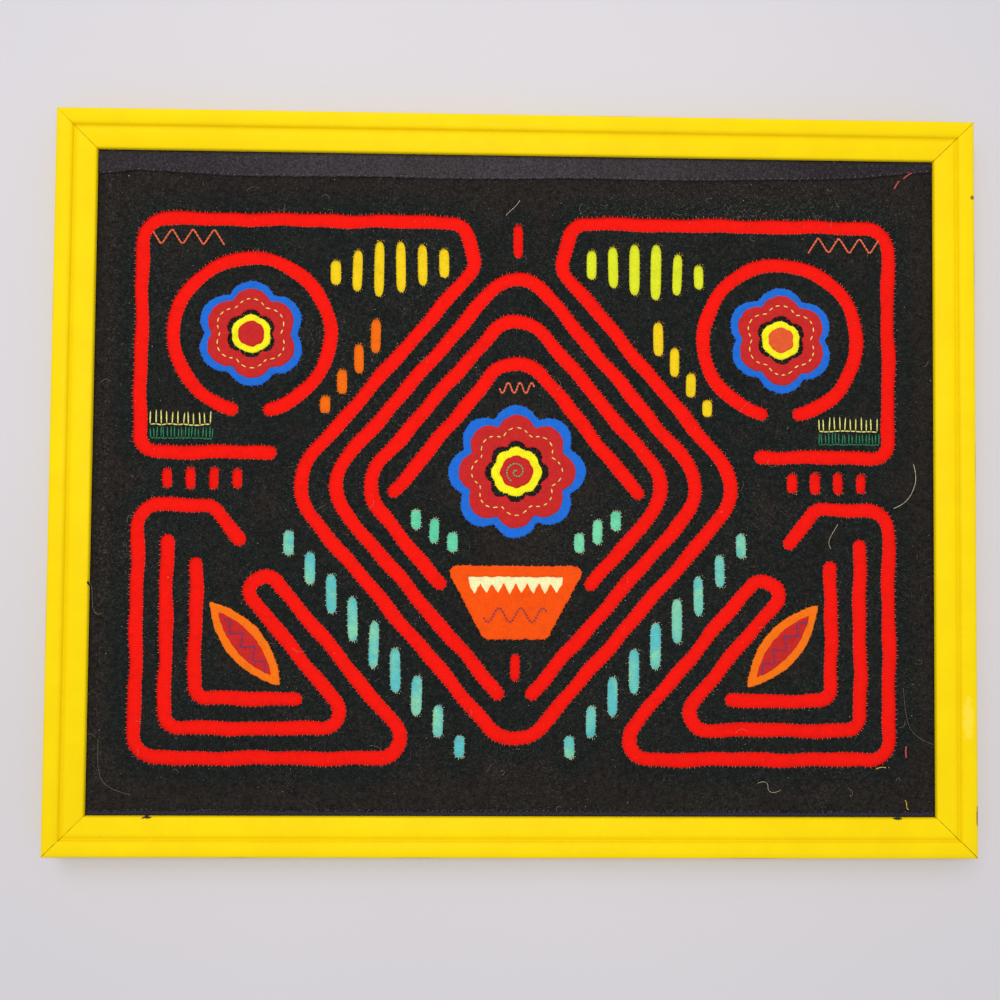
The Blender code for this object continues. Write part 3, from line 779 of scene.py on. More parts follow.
def cut_cloth(name, outline, holes, level, material, grid=4.0, relief=None, step=EDGE_STEP, tuck=True, pull=0.0):
    """A piece of thin cloth, cut to the outline with the holes cut out, every edge turned under."""
    loops = [even_loop(outline, step)] + [even_loop(hole, step) for hole in holes]
    insides = [loop_left(loop) * (1 if number == 0 else -1) for number, loop in enumerate(loops)]
    if pull:
        for loop, inside in zip(loops, insides):
            drawn_in = np.convolve([chance.gauss(0, pull) for _ in loop], (0.25, 0.5, 0.25), "same")
            loop += inside * drawn_in[:, None]
    edges = nearest_edge(loops)
    flat, constraints = [], []
    for loop in loops:
        constraints.append(list(range(len(flat), len(flat) + len(loop))))
        flat.extend(map(tuple, loop))
    rim_count = len(flat)
    away = [0.0] * rim_count
    for distance, _ in FOLD[1:]:
        for loop, inside in zip(loops, insides):
            for x, y in loop + inside * distance:
                near = edges.find((x, y, 0.0))[2]
                if near > 0.94 * distance:
                    flat.append((x, y))
                    away.append(near)
    low, high = loops[0].min(0), loops[0].max(0)
    rows = int((high[1] - low[1]) / (grid * 0.87)) + 1
    columns = int((high[0] - low[0]) / grid) + 1
    for row in range(rows):
        for column in range(columns):
            x = low[0] + (column + 0.5 * (row % 2)) * grid + chance.uniform(-0.2, 0.2) * grid
            y = low[1] + row * grid * 0.87 + chance.uniform(-0.2, 0.2) * grid
            near = edges.find((x, y, 0.0))[2]
            if near > FOLD_WIDTH + 0.4 * min(grid, 2.0):
                flat.append((x, y))
                away.append(near)
    spots, _, triangles, origins, _, owners = delaunay_2d_cdt([Vector(p) for p in flat], [], constraints, 0, 1e-7)
    spots = np.array([tuple(spot) for spot in spots])
    away = np.array([away[origin[0]] if origin else edges.find((*spot, 0.0))[2] for origin, spot in zip(origins, spots)])
    fold_in, fold_up = zip(*FOLD)
    height = np.interp(away, fold_in + (FOLD_END,), fold_up + (0.0,))
    height = height + level + waves_of_cloth(spots[:, 0], spots[:, 1])
    if relief:
        height += relief(spots[:, 0], spots[:, 1], away)
    points = np.column_stack([spots, height])
    # A triangle in the cloth lies in the outline and in no hole
    faces = [tuple(face) for face, owner in zip(triangles, owners) if list(owner) == [0]]
    if tuck:
        index = {}
        for number, origin in enumerate(origins):
            for old in origin:
                index[old] = number
        extra = []
        start = 0
        for loop, inside in zip(loops, insides):
            rings = [[index[start + k] for k in range(len(loop))]]
            for distance, drop in TUCK[::-1]:
                here = loop + inside * distance
                ring = []
                for x, y in here:
                    ring.append(len(points) + len(extra))
                    extra.append((x, y, level + drop + float(waves_of_cloth(x, y))))
                rings.append(ring)
            for upper, lower in zip(rings, rings[1:]):
                for here in range(len(loop)):
                    after = (here + 1) % len(loop)
                    if inside is insides[0]:
                        faces.append((upper[after], upper[here], lower[here], lower[after]))
                    else:
                        faces.append((upper[here], upper[after], lower[after], lower[here]))
            start += len(loop)
        points = np.concatenate([points, np.array(extra)])
    made = piece(name, points, faces, material)
    area = loop_area(loops[0]) - sum(loop_area(loop) for loop in loops[1:])
    area += SEAM_ALLOWANCE * sum(loop_length(loop) for loop in loops) if tuck else 0.0
    return made, loops, insides


def stitch_shape():
    """One stitch, a metre long for now, drawn out from a small ball: thick in the middle, sunk at its ends."""
    bpy.ops.object.select_all(action="DESELECT")
    bpy.ops.mesh.primitive_uv_sphere_add(segments=6, ring_count=4, radius=0.5)
    ball = bpy.context.object
    ball.rotation_euler = (0.0, math.pi / 2, 0.0)
    bpy.ops.object.transform_apply(location=False, rotation=True, scale=False)
    points = np.array([tuple(vertex.co) for vertex in ball.data.vertices])
    faces = [tuple(face.vertices) for face in ball.data.polygons]
    bpy.data.objects.remove(ball, do_unlink=True)
    return points, faces


def laid_copies(name, shape, starts, ends, thickness, material, widths=None):
    """Copies of the shape, each laid from its start to its end, joined as one piece."""
    unit, unit_faces = shape
    starts, ends = np.asarray(starts, float), np.asarray(ends, float)
    run = ends - starts
    length = np.linalg.norm(run, axis=1)
    forward = run / length[:, None]
    up = np.array([0.0, 0.0, 1.0]) - forward * forward[:, 2:3]
    up /= np.linalg.norm(up, axis=1)[:, None]
    side = np.cross(up, forward)
    thick = np.full(len(starts), thickness) if widths is None else np.asarray(widths)
    middle = (starts + ends) / 2
    points = (
        middle[:, None, :]
        + unit[None, :, 0:1] * (forward * length[:, None])[:, None, :]
        + unit[None, :, 1:2] * (side * thick[:, None])[:, None, :]
        + unit[None, :, 2:3] * (up * thick[:, None])[:, None, :]
    ).reshape(-1, 3)
    faces = [tuple(number + copy * len(unit) for number in face) for copy in range(len(starts)) for face in unit_faces]
    return piece(name, points, faces, material)


def raised(x, y, height):
    return height + float(waves_of_cloth(x, y))


def whip_stitches(loops, insides, level, pitch, reach, lead=-0.2, skip=0.06, slant=0.35):
    """Small stitches over a turned edge, from just off the fold up onto the cloth."""
    starts, ends = [], []
    for loop, inside in zip(loops, insides):
        at = distances_along(np.concatenate([loop, loop[:1]]))
        spot = chance.uniform(0, pitch)
        while spot < at[-1] - 0.3 * pitch:
            number = int(np.searchsorted(at, spot)) % len(loop)
            spot += pitch * chance.uniform(0.75, 1.25)
            if chance.random() < skip:
                continue
            place, inward = loop[number], inside[number]
            along = np.array([inward[1], -inward[0]])
            lean = along * chance.uniform(-slant, slant)
            first = place + inward * lead
            last = place + inward * reach * chance.uniform(0.7, 1.25) + lean
            starts.append((*first, raised(*first, level - 0.30)))
            ends.append((*last, raised(*last, level + 0.10)))
    return starts, ends


def stitched_line(line, level, length, gap, closed=False):
    """Running stitches along a line."""
    line = np.asarray(line, float)
    if closed:
        line = np.concatenate([line, line[:1]])
    at = distances_along(line)
    starts, ends = [], []
    spot = 0.0
    while spot + length < at[-1]:
        this = length * chance.uniform(0.8, 1.15)
        pair = []
        for mark in (spot, min(spot + this, at[-1])):
            x, y = np.interp(mark, at, line[:, 0]), np.interp(mark, at, line[:, 1])
            pair.append((x, y, raised(x, y, level)))
        starts.append(pair[0])
        ends.append(pair[1])
        spot += this + gap * chance.uniform(0.8, 1.2)
    return starts, ends


def comb(x, y, width, height, pitch, level):
    """Upright stitches side by side, caught by a line of stitches along their foot."""
    feet, tops = [], []
    for number in range(round(width / pitch) + 1):
        at = x + number * pitch + chance.uniform(-0.25, 0.25)
        foot, top = y + chance.uniform(-0.3, 0.3), y + height * chance.uniform(0.85, 1.1)
        feet.append((at, foot, raised(at, foot, level)))
        tops.append((at + chance.uniform(-0.4, 0.4), top, raised(at, top, level)))
    return feet + feet[:-1], tops + feet[1:]


def slot_whiskers(slots, level, count=5, reach=0.85):
    """Short thread ends fanned out round both ends of each slot."""
    starts, ends = [], []
    for slot in slots:
        middle = slot.mean(0)
        for tip in (slot[slot[:, 1].argmax()], slot[slot[:, 1].argmin()]):
            out = (tip - middle) / np.linalg.norm(tip - middle)
            side = np.array([out[1], -out[0]])
            for turn in np.linspace(-1.15, 1.15, count):
                turn += chance.uniform(-0.15, 0.15)
                way = out * math.cos(turn) + side * math.sin(turn)
                foot = tip - out * (1.1 - 0.9 * math.cos(turn)) + side * 1.1 * math.sin(turn)
                last = foot + way * reach * chance.uniform(0.7, 1.3)
                starts.append((*foot, raised(*foot, level - 0.2)))
                ends.append((*last, raised(*last, level + 0.12)))
    return starts, ends


def fine_thread(name, routes, material):
    """Loose threads and hairs, each a thin tube along its route. Routes have columns: radius, points."""
    curve = bpy.data.curves.new(name, "CURVE")
    curve.dimensions = "3D"
    curve.bevel_depth = MM
    curve.bevel_resolution = 1
    curve.resolution_u = 5
    for radius, route in routes:
        spline = curve.splines.new("NURBS")
        spline.points.add(len(route) - 1)
        for point, (x, y, z) in zip(spline.points, route):
            point.co = (x * MM, y * MM, z * MM, 1.0)
            point.radius = radius
        spline.order_u = 4
        spline.use_endpoint_u = True
    made = bpy.data.objects.new(name, curve)
    bpy.context.scene.collection.objects.link(made)
    curve.materials.append(material)
    bpy.ops.object.select_all(action="DESELECT")
    made.select_set(True)
    bpy.context.view_layer.objects.active = made
    bpy.ops.object.convert(target="MESH")
    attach(bpy.context.object, "root")


def scattered_hair(x, y, level, length, points=6):
    """A short curl that starts at the place and wanders."""
    route, heading = [], chance.uniform(0, 2 * math.pi)
    curl = chance.uniform(-0.9, 0.9)
    for _ in range(points):
        route.append((x, y, raised(x, y, level) + chance.uniform(0, 0.15)))
        x += math.cos(heading) * length / points
        y += math.sin(heading) * length / points
        heading += curl + chance.uniform(-0.5, 0.5)
    return route


def lintiness(x, y):
    """Lint gathers along the left crease and to the upper right."""
    by_crease = math.exp(-(((x - crease(LEFT_CREASE, y)) / 1.3) ** 2))
    upper_right = math.exp(-(((x - 90) / 60) ** 2) - ((y - 116) / 9) ** 2)
    return 0.8 * by_crease + 0.7 * upper_right


def lint_flecks(ground, edges, count):
    """Places for lint on the ground cloth."""
    spots, weights = [], []
    for vertex in ground.data.vertices:
        x, y, z = vertex.co / MM
        if z > GROUND_LEVEL - 0.2 and abs(x) < SIGHT_WIDTH / 2 - 0.5 and edges.find((x, y, 0.0))[2] > 0.9:
            spots.append((x, y, z))
            weights.append(1 + 8 * lintiness(x, y))
    return chance.choices(spots, weights, k=count)


# Frame


def smooth_face(points, steps):
    """The face line with extra points on an even curve through them."""
    rows = np.array(points)
    line = []
    for number in range(len(rows) - 1):
        before, here = rows[max(number - 1, 0)], rows[number]
        after, last = rows[number + 1], rows[min(number + 2, len(rows) - 1)]
        for step in range(steps):
            t = step / steps
            line.append(
                0.5 * (2 * here + (after - before) * t + (2 * before - 5 * here + 4 * after - last) * t ** 2
                       + (3 * here - before - 3 * after + last) * t ** 3)
            )
    line.append(rows[-1])
    return line


def rail(name, cad_node, length, distance, turn, mitre_gap, paint, wood):
    """A length of moulding: its section drawn point by point, pulled out, then cut to the mitres."""
    section = smooth_face(MOULDING_FACE, FACE_STEPS) + [np.array(row) for row in MOULDING_BACK]
    section = [(-(distance / 2 + out) * MM, height * MM) for out, height in section]
    stock = (length / 2 + FACE_WIDTH + 6.0) * MM
    bpy.ops.object.select_all(action="DESELECT")
    bpy.ops.mesh.primitive_plane_add(size=0.01)
    made = bpy.context.object
    made.name = name
    made.data.name = name
    bpy.ops.object.mode_set(mode="EDIT")
    bpy.ops.mesh.select_all(action="SELECT")
    bpy.ops.mesh.merge(type="CENTER")
    bpy.ops.transform.translate(value=(-stock, section[0][0], section[0][1]))
    for here, after in zip(section, section[1:]):
        step = (0.0, after[0] - here[0], after[1] - here[1])
        bpy.ops.mesh.extrude_region_move(TRANSFORM_OT_translate={"value": step})
    bpy.ops.mesh.select_all(action="SELECT")
    bpy.ops.mesh.edge_face_add()
    bpy.ops.mesh.extrude_region_move(TRANSFORM_OT_translate={"value": (2 * stock, 0.0, 0.0)})
    for way in (-1, 1):
        bpy.ops.mesh.select_all(action="SELECT")
        bpy.ops.mesh.bisect(
            plane_co=(way * (length / 2 - mitre_gap) * MM, -distance / 2 * MM, 0.0),
            plane_no=(way, 1.0, 0.0),
            use_fill=True,
            clear_outer=True,
        )
    bpy.ops.mesh.select_all(action="SELECT")
    bpy.ops.mesh.normals_make_consistent(inside=False)
    bpy.ops.object.mode_set(mode="OBJECT")
    made.rotation_euler.z = math.radians(turn)
    bpy.ops.object.transform_apply(location=False, rotation=True, scale=False)
    bpy.ops.object.shade_smooth_by_angle(angle=math.radians(35))
    made.data.materials.append(paint)
    made.data.materials.append(wood)
    for face in made.data.polygons:
        x, y, level = np.abs(face.center) / MM
        out = max(x - SIGHT_WIDTH / 2, y - SIGHT_HEIGHT / 2)
        square = max(np.abs(face.normal)) > 0.9
        face.material_index = int(square and level < LIP_UNDERSIDE + 0.1 and out < FACE_WIDTH - 0.6)
    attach(made, "root")
    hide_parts(cad_node)
    return made


# Cloths


def crease(table, y):
    return np.interp(y, [row[1] for row in table], [row[0] for row in table]) + 0.25 * np.sin(y / 7.0)


def ground_relief(x, y, away):
    """Puckers between the stitches, a crease down each side and the rolled hem at the foot."""
    puckers = 0.045 * np.sin(x * 1.8 + y * 0.7) * np.sin(y * 1.8 - x * 0.6) * np.clip(1.6 - away / 2.4, 0.2, 1)
    left, right = x - crease(LEFT_CREASE, y), x - crease(RIGHT_CREASE, y)
    folds = 0.20 * np.exp(-(((left - 1.3) / 0.8) ** 2)) - 0.26 * np.exp(-((left / 0.5) ** 2))
    folds += 0.22 * np.exp(-(((right + 1.2) / 0.9) ** 2)) - 0.22 * np.exp(-((right / 0.5) ** 2))
    inside = np.clip((SIGHT_WIDTH / 2 - np.abs(x)) / 2, 0, 1)
    hem = 0.45 * np.exp(-(((y - HEM_LINE) / 0.75) ** 2)) * inside
    # The lip presses the margin flat
    free = np.clip((SIGHT_WIDTH / 2 - np.abs(x)) / 3, 0, 1) * np.clip((SIGHT_HEIGHT / 2 - np.abs(y)) / 3, 0, 1)
    free = free * np.clip((strip_edge(x) + 1 - y) / 2, 0, 1)
    return (puckers + folds) * free + hem - waves_of_cloth(x, y) * (1 - free)


def base_cloth(lines, material):
    """The red cloth under everything. It swells a little where the top cloth is cut away."""
    width, height = SIGHT_WIDTH + 2 * (LIP_WIDTH - 0.3), SIGHT_HEIGHT + 2 * (LIP_WIDTH - 0.3)
    middle = nearest_edge([line[::2] for line in lines])
    columns, rows = 150, 120
    bpy.ops.object.select_all(action="DESELECT")
    bpy.ops.mesh.primitive_grid_add(x_subdivisions=columns, y_subdivisions=rows, size=1.0)
    made = bpy.context.object
    made.name = "base_cloth_laid"
    made.data.name = made.name
    made.scale = (width * MM, height * MM, 1.0)
    made.location.z = BASE_LEVEL * MM
    bpy.ops.object.transform_apply(location=True, rotation=False, scale=True)
    for vertex in made.data.vertices:
        x, y = vertex.co.x / MM, vertex.co.y / MM
        away = middle.find((x, y, 0.0))[2]
        swell = BASE_PUFF * max(0.0, 1 - (away / (BAND_WIDTH / 2)) ** 2)
        vertex.co.z += (swell + 0.6 * float(waves_of_cloth(x, y)) * (abs(x) < SIGHT_WIDTH / 2 - 3)) * MM
    made.data.shade_smooth()
    made.data.materials.append(material)
    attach(made, "root")
    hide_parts("base_cloth")
    return made


def strip_edge(x):
    waves = sum(height * np.sin(x / length + start) for length, height, start in STRIP_WAVES)
    return np.interp(x, *zip(*STRIP_EDGE)) + waves


# Sections of the strip. Columns: distance up from the lower edge, height over the ground cloth
STRIP_FOLD = ((0.9, 0.12), (0.2, 0.10), (0.0, 0.28), (0.1, 0.55), (0.45, 0.72), (1.0, 0.80), (1.6, 0.72))
# Columns: share of the way from the fold to the bend, height
STRIP_BODY = ((0.2, 0.66), (0.4, 0.68), (0.6, 0.66), (0.8, 0.68), (1.0, 0.64))
# Columns: y, height
STRIP_UNDER_LIP = ((134.5, 0.42), (135.0, 0.12), (135.6, 0.0), (137.5, -0.02), (140.1, -0.02))
STRIP_BEND = 133.9


def top_strip(material):
    """The strip along the top: its lower edge turned under and sewn down, its upper edge under the lip."""
    xs = np.linspace(-(SIGHT_WIDTH / 2 - 0.3), SIGHT_WIDTH / 2 - 0.3, 320)
    xs = np.sort(np.append(xs, STRIP_SEAM + np.array([-0.5, -0.25, 0.0, 0.25])))
    points = []
    for x in xs:
        edge = strip_edge(x) + 0.12 * math.sin(x * 1.25) + 0.08 * math.sin(x * 0.43)
        fold_top = edge + STRIP_FOLD[-1][0]
        section = [(edge + out, up, 1.0) for out, up in STRIP_FOLD]
        section += [(fold_top + share * (STRIP_BEND - fold_top), up, 1.0) for share, up in STRIP_BODY]
        section += [(y, up, 0.0) for y, up in STRIP_UNDER_LIP]
        lapped = 0.16 if x < STRIP_SEAM else -0.22 * math.exp(-(((x - STRIP_SEAM) / 0.35) ** 2))
        for y, up, free in section:
            pucker = 0.06 * math.sin(x * 1.25) * math.exp((edge - y) / 2.5) + 0.06 * math.sin(x / 7.0 + y / 3.0)
            level = GROUND_LEVEL + up + (pucker + lapped + 0.5 * float(waves_of_cloth(x, y))) * free
            points.append((x, y, level))
    wide = len(STRIP_FOLD + STRIP_BODY + STRIP_UNDER_LIP)
    faces = []
    for column in range(len(xs) - 1):
        for row in range(wide - 1):
            here = column * wide + row
            faces.append((here, here + wide, here + wide + 1, here + 1))
    made = piece("top_strip_sewn", points, faces, material)
    shade(made, "deeper", np.interp([x for x, _, _ in points], *zip(*STRIP_SHADE)))
    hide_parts("top_strip")


# Light, floor and camera


def floor(material):
    bpy.ops.object.select_all(action="DESELECT")
    bpy.ops.mesh.primitive_plane_add(size=4.0)
    made = bpy.context.object
    made.name = "floor"
    made.data.materials.append(material)


def soft_light(name, place, target, size, power):
    light = bpy.data.lights.new(name, "AREA")
    light.shape = "DISK"
    light.size = size
    light.energy = power
    made = bpy.data.objects.new(name, light)
    made.location = place
    made.rotation_euler = (Vector(target) - Vector(place)).to_track_quat("-Z", "Y").to_euler()
    bpy.context.scene.collection.objects.link(made)


def lights():
    world = bpy.data.worlds.new("studio")
    bpy.context.scene.world = world
    world.use_nodes = True
    world.node_tree.nodes["Background"].inputs["Color"].default_value = (0.97, 0.98, 1.0, 1.0)
    world.node_tree.nodes["Background"].inputs["Strength"].default_value = 0.70
    soft_light("lamp_left", (-0.075, 0.085, 0.60), (0.0, 0.0, 0.0), 0.12, 0.50)
    soft_light("lamp_right", (0.05, 0.095, 0.60), (0.0, 0.0, 0.0), 0.12, 0.50)
    soft_light("window", (-0.5, 1.0, 1.3), (0.0, 0.0, 0.0), 1.0, 6.0)


def camera():
    """The camera where the photograph was taken: nearly over the middle, a little below and left of it."""
    turn = Vector(math.radians(value) for value in CAMERA_TURN)
    matrix = Matrix.Rotation(turn.length, 3, turn.normalized())
    flip = Matrix(((1, 0, 0), (0, -1, 0), (0, 0, -1)))
    turned = (flip @ matrix @ flip).transposed()
    shift = flip @ Vector(CAMERA_SHIFT)
    place = -(turned @ shift) + Vector((0.0, 0.0, SIGHT_EDGE_LEVEL))
    data = bpy.data.cameras.new("camera")
    data.sensor_width = SENSOR
    data.lens = FOCAL_SHARE * SENSOR
    data.clip_start = 0.01
    made = bpy.data.objects.new("camera", data)
    made.matrix_world = Matrix.Translation(place * MM) @ turned.to_4x4()
    bpy.context.scene.collection.objects.link(made)
    bpy.context.scene.camera = made


def edge_stitches(stitch, thread):
    """Small stitches along the strip, and the hem at the foot bound over with close stitches."""
    starts, ends = [], []
    x = -SIGHT_WIDTH / 2 + 2.0
    while x < SIGHT_WIDTH / 2 - 2.0:
        y = float(strip_edge(x)) + chance.uniform(0.1, 0.4)
        starts.append((x, y, raised(x, y, GROUND_LEVEL + 0.72)))
        ends.append((x + 0.75, y + 0.5, raised(x, y, GROUND_LEVEL + 0.80)))
        x += 2.7 * chance.uniform(0.8, 1.2)
    laid_copies("strip_stitches", stitch, starts, ends, 0.32, thread["violet_thread"])
    starts, ends, dots, dot_ends = [], [], [], []
    x = -SIGHT_WIDTH / 2 + 0.8
    while x < SIGHT_WIDTH / 2 - 1.2:
        starts.append((x, HEM_LINE - 1.2, GROUND_LEVEL + 0.30))
        ends.append((x + 0.9, HEM_LINE + 0.75 + chance.uniform(-0.45, 0.45), GROUND_LEVEL + 0.34))
        if chance.random() < 0.25:
            y = HEM_LINE + 0.9 + chance.uniform(-0.2, 0.3)
            dots.append((x, y, GROUND_LEVEL + 0.62))
            dot_ends.append((x + 0.55, y + 0.3, GROUND_LEVEL + 0.62))
        x += 0.9 * chance.uniform(0.85, 1.15)
    laid_copies("hem_binding", stitch, starts, ends, 1.05, thread["hem_thread"])
    laid_copies("hem_dots", stitch, dots, dot_ends, 0.24, thread["violet_thread"])


def embroidery(stitch, thread):
    """Surface stitching between the bands and on the patches."""
    level = GROUND_LEVEL + 0.15
    rows = {"yellow_thread": [[], []], "green_thread": [[], []]}
    for side in (-1, 1):
        left = min(side * 124.8, side * 149.3)
        for name, foot, height, pitch in (("yellow_thread", 22.5, 5.8, 2.2), ("green_thread", 16.9, 4.9, 1.4)):
            starts, ends = comb(left, foot, 24.5, height, pitch, level)
            rows[name][0].extend(starts)
            rows[name][1].extend(ends)
    for name, (starts, ends) in rows.items():
        laid_copies(name.split("_")[0] + "_comb", stitch, starts, ends, 0.6, thread[name])
    lines = []
    for side in (-1, 1):
        zigzag = [(side * (120.5 + 4.3 * number), 96.4 + 6.8 * (number % 2)) for number in range(8)]
        lines.append(("corner_zigzag", "coral_thread", 0.9, 1.7, -0.25, level, zigzag))
    squiggle = [(2.3 * t, 39 + 2.5 * math.sin(3 * t)) for t in np.linspace(-math.pi, math.pi, 40)]
    lines.append(("squiggle", "coral_thread", 0.9, 1.7, -0.25, level, squiggle))
    turns = np.linspace(0.6, 3.4 * math.pi, 40)
    scroll = [(0.42 * t * math.cos(t), 4.5 + 0.42 * t * math.sin(t)) for t in turns]
    lines.append(("flower_scroll", "sage_thread", 0.75, 1.1, 0.1, UPPER_PATCH_LEVEL + 0.15, scroll))
    wave = [(x, -54 + 3.0 * math.sin(x * 0.7)) for x in np.linspace(-13, 13, 44)]
    lines.append(("pot_scroll", "plum_thread", 0.8, 1.0, 0.4, PATCH_LEVEL + 0.3, wave))
    for number, (name, thread_name, thickness, length, gap, height, route) in enumerate(lines):
        starts, ends = stitched_line(route, height, length, gap)
        laid_copies(f"{name}_{number}", stitch, starts, ends, thickness, thread[thread_name])


def loose_bits(stitch, thread, ground, edges):
    """Lint, stray threads, hairs, and the fuzz pressed up over the sight edge."""
    routes = {}
    for name, radius, points in STRAYS:
        route = [(x, y, raised(x, y, GROUND_LEVEL + 0.3)) for x, y in points]
        routes.setdefault(name, []).append((radius, route))
    for x, y, z in lint_flecks(ground, edges, HAIRS):
        length = chance.uniform(2.5, 8.0)
        routes["lint"].append((chance.uniform(0.035, 0.06), scattered_hair(x, y, GROUND_LEVEL + 0.25, length)))
    routes["black_thread"] = []
    for x, y in TUFTS:
        for _ in range(26):
            at = x + chance.gauss(0, 0.55), y + chance.gauss(0, 0.16)
            routes["black_thread"].append((0.2, scattered_hair(*at, SIGHT_EDGE_LEVEL + 0.25, 0.9)))
    for name, group in routes.items():
        fine_thread("stray_" + name, group, thread[name])
    # Columns: thread, how many, least and most length, least and most thickness
    for name, count, short, long, thin, thick in (
        ("lint", FLECKS, 0.2, 0.8, 0.06, 0.16), ("cream_thread", FLECKS // 16, 0.2, 0.45, 0.10, 0.24),
        ("red_thread", FLECKS // 30, 0.3, 0.8, 0.08, 0.16),
    ):
        starts, ends, widths = [], [], []
        for x, y, z in lint_flecks(ground, edges, count):
            x, y = x + chance.uniform(-0.8, 0.8), y + chance.uniform(-0.8, 0.8)
            turn, length = chance.uniform(0, math.pi), chance.uniform(short, long)
            run = (length * math.cos(turn), length * math.sin(turn))
            starts.append((x, y, z + 0.12))
            ends.append((x + run[0], y + run[1], z + 0.14))
            widths.append(chance.uniform(thin, thick))
        laid_copies(name + "_flecks", stitch, starts, ends, 0.1, thread[name], widths=widths)


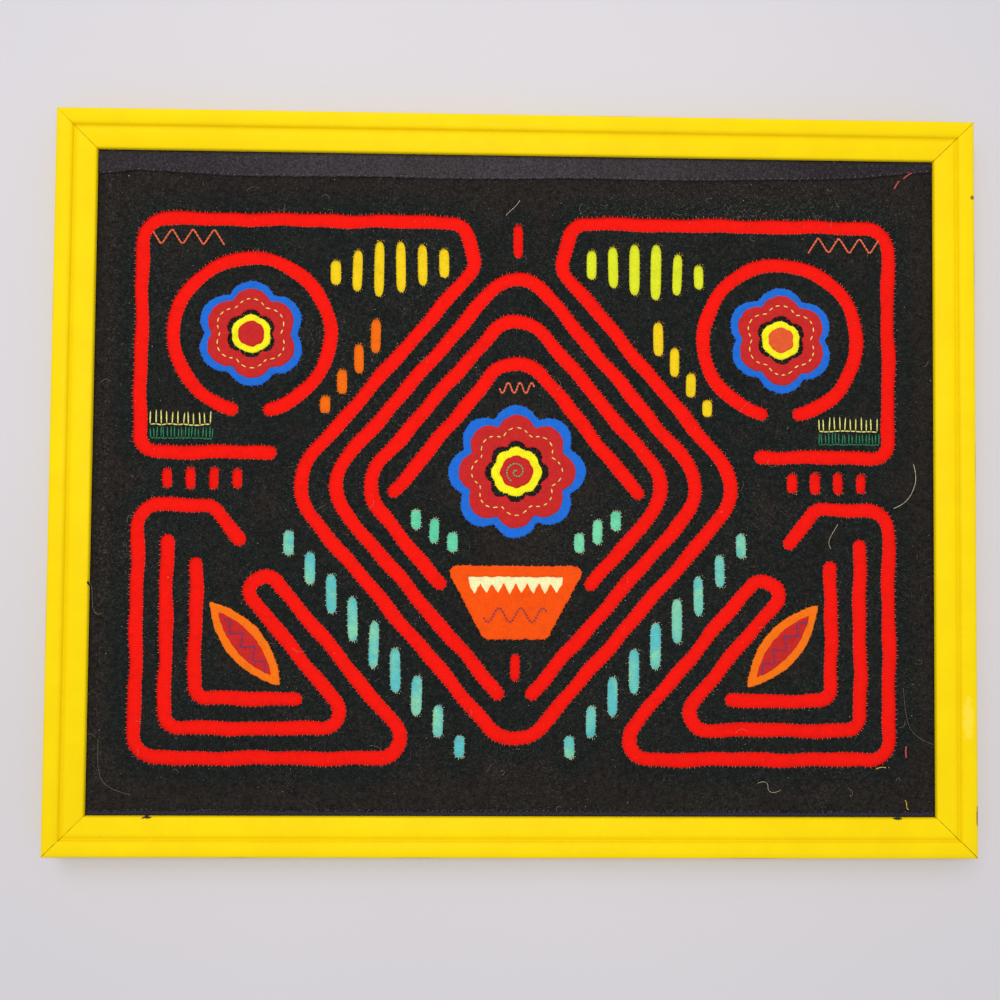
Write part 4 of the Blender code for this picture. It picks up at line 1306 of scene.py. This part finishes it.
def build():
    stitch = stitch_shape()
    cloth = {}
    for name, colour in CLOTHS.items():
        lint = {"black": 0.9, "violet_grey": 0.6}.get(name, 0.0)
        cloth[name] = cotton("cotton_" + name, colour, lint, deeper=DEEPER.get(name), patchy=PATCHY.get(name))
    thread = {name: twist(name, colour) for name, colour in THREADS.items()}

    paint, wood = gloss_paint(), bare_wood()
    for row in RAILS:
        rail(*row, paint, wood)
    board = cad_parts["backing_board"]
    for material_slot in board.material_slots:
        material_slot.material = hardboard()

    lines = band_lines()
    drifted = [drifting(line, seed)[0] for seed, line in enumerate(lines, 1)]
    base_cloth(drifted, cloth["red"])
    bands = [band(line, seed) for seed, line in enumerate(lines, 1)]
    slots = [slot_outline(*row) for row in MIDDLE_SLOTS]
    slot_threads = ["red_thread"] * len(slots)
    for thread_name, first_x, first_y, step_x, step_y, lengths in SLOT_ROWS:
        for number, length in enumerate(lengths):
            x, y = first_x + step_x * number, first_y + step_y * number
            slots += [slot_outline(x, y, length), slot_outline(-x, y, length)]
            slot_threads += [thread_name] * 2

    for name, side, colour in SCRAP_COLOURS:
        outline = np.array(dict(SCRAPS)[name], float) * ((1 if side == "right" else -1), 1)
        made, _, _ = cut_cloth(
            f"{name}_scrap_{side}", outline, [], SCRAP_LEVEL, cloth[colour], grid=3.0, step=2.0, tuck=False
        )
        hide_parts(f"scrap_{name}_{side}")

    width, height = SIGHT_WIDTH / 2 + LIP_WIDTH - 0.4, SIGHT_HEIGHT / 2 + LIP_WIDTH - 0.4
    edge = [(width, GROUND_TOP_EDGE), (-width, GROUND_TOP_EDGE), (-width, -height), (width, -height)]
    ground, loops, insides = cut_cloth(
        "ground_cloth_cut", edge, bands + slots, GROUND_LEVEL, cloth["black"], grid=3.2, relief=ground_relief
    )
    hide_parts("ground_cloth")
    edges = nearest_edge(loops[1:])
    away = [edges.find((vertex.co.x / MM, vertex.co.y / MM, 0.0))[2] for vertex in ground.data.vertices]
    shade(ground, "deeper", np.interp(away, (5.0, 10.0), (1.0, 0.0)))
    shade(ground, "linty", [lintiness(vertex.co.x / MM, vertex.co.y / MM) for vertex in ground.data.vertices])
    loops, insides = loops[1:], insides[1:]
    cut = len(bands)
    starts, ends = whip_stitches(loops[:cut], insides[:cut], GROUND_LEVEL, 1.8, 0.5, lead=-0.3)
    laid_copies("whip_stitches", stitch, starts, ends, 0.25, thread["red_thread"])
    for name in sorted(set(slot_threads)):
        chosen = [number for number, thread_name in enumerate(slot_threads) if thread_name == name]
        starts, ends = slot_whiskers([slots[number] for number in chosen], GROUND_LEVEL)
        round_slots = [loops[cut + number] for number in chosen], [insides[cut + number] for number in chosen]
        more_starts, more_ends = whip_stitches(*round_slots, GROUND_LEVEL, 2.6, 0.45, lead=-0.3)
        laid_copies(name + "_slots", stitch, starts + more_starts, ends + more_ends, 0.2, thread[name])
    embroidery(stitch, thread)
    loose_bits(stitch, thread, ground, edges)

    for name, x, y, radius, petals, seed, middle_colour in FLOWERS:
        for part, outer, inner, notch, inner_notch, level, colour in FLOWER_LAYERS:
            colour = colour or middle_colour
            outline = petal_loop(x, y, outer * radius, petals, notch, seed)
            holes = [petal_loop(x, y, inner * radius, petals, inner_notch, seed)] if inner else []
            made, loops, insides = cut_cloth(
                f"{name}_{part}_sewn", outline, holes, level, cloth[colour], grid=2.2, step=0.8, pull=STITCH_PULL
            )
            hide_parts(f"{name}_{part}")
            starts, ends = whip_stitches(loops, insides, level - 0.3, 2.6, 0.5, lead=-0.55, slant=0.25)
            kind = {"blue": "blue_thread", "yellow": "yellow_thread"}.get(colour, "maroon_thread")
            laid_copies(f"{name}_{part}_stitches", stitch, starts, ends, 0.24, thread[kind])
        basting = petal_loop(x, y, 0.66 * radius, petals, 0.22, seed)
        starts, ends = stitched_line(basting, UPPER_PATCH_LEVEL + 0.12, 2.0, 1.3, closed=True)
        laid_copies(f"{name}_basting", stitch, starts, ends, 0.55, thread["yellow_thread"])

    made, loops, insides = cut_cloth(
        "pot_sewn", pot_outline(), [saw_teeth()], PATCH_LEVEL + 0.1, cloth["deep_orange"], grid=2.5, step=0.7,
        pull=STITCH_PULL,
    )
    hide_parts("pot")
    starts, ends = whip_stitches(loops[:1], insides[:1], PATCH_LEVEL - 0.2, 2.6, 0.5, lead=-0.5)
    laid_copies("pot_stitches", stitch, starts, ends, 0.24, thread["orange_thread"])
    half = TEETH * TOOTH_PITCH / 2 + 2.0
    trim = [(half, TRIM_TOP + 1.5), (-half, TRIM_TOP + 1.5), (-half, TRIM_TOP - 8.6), (half, TRIM_TOP - 8.6)]
    made, _, _ = cut_cloth("pot_trim_laid", trim, [], POT_TRIM_LEVEL, cloth["cream"], grid=2.5, tuck=False)
    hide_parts("pot_trim")

    for side, name in ((-1, "left_leaf"), (1, "right_leaf")):
        outline = leaf_loop(side, *LEAF_SIZE)
        made, loops, insides = cut_cloth(
            name + "_rim_sewn", outline, [], PATCH_LEVEL, cloth["orange_border"], grid=2.5, step=0.8,
            pull=STITCH_PULL,
        )
        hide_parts(name + "_rim")
        starts, ends = whip_stitches(loops, insides, PATCH_LEVEL - 0.3, 2.6, 0.5, lead=-0.5)
        laid_copies(name + "_stitches", stitch, starts, ends, 0.24, thread["orange_thread"])
        outline = leaf_loop(side, *LEAF_MIDDLE_SIZE)
        made, _, _ = cut_cloth(
            name + "_middle_sewn", outline, [], UPPER_PATCH_LEVEL, cloth["maroon"], grid=2.5, step=0.8,
            pull=STITCH_PULL,
        )
        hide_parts(name + "_middle")
        cos, sin = math.cos(LEAF_ANGLE), math.sin(LEAF_ANGLE)
        zigzag = []
        for number in range(9):
            along = (number - 4) * 3.6
            swing = (2.6 if number % 2 else -2.6) * (1 - (abs(number - 4) / 6) ** 2)
            zigzag.append((side * (LEAF_CENTRE[0] + along * cos - swing * sin), LEAF_CENTRE[1] + along * sin + swing * cos))
        starts, ends = stitched_line(zigzag, UPPER_PATCH_LEVEL + 0.12, 1.7, 0.1)
        laid_copies(name + "_zigzag", stitch, starts, ends, 0.6, thread["navy_thread"])

    top_strip(cloth["violet_grey"])
    edge_stitches(stitch, thread)

    floor(pale_floor())
    lights()
    camera()


build()
bpy.context.scene.view_settings.view_transform = "Standard"
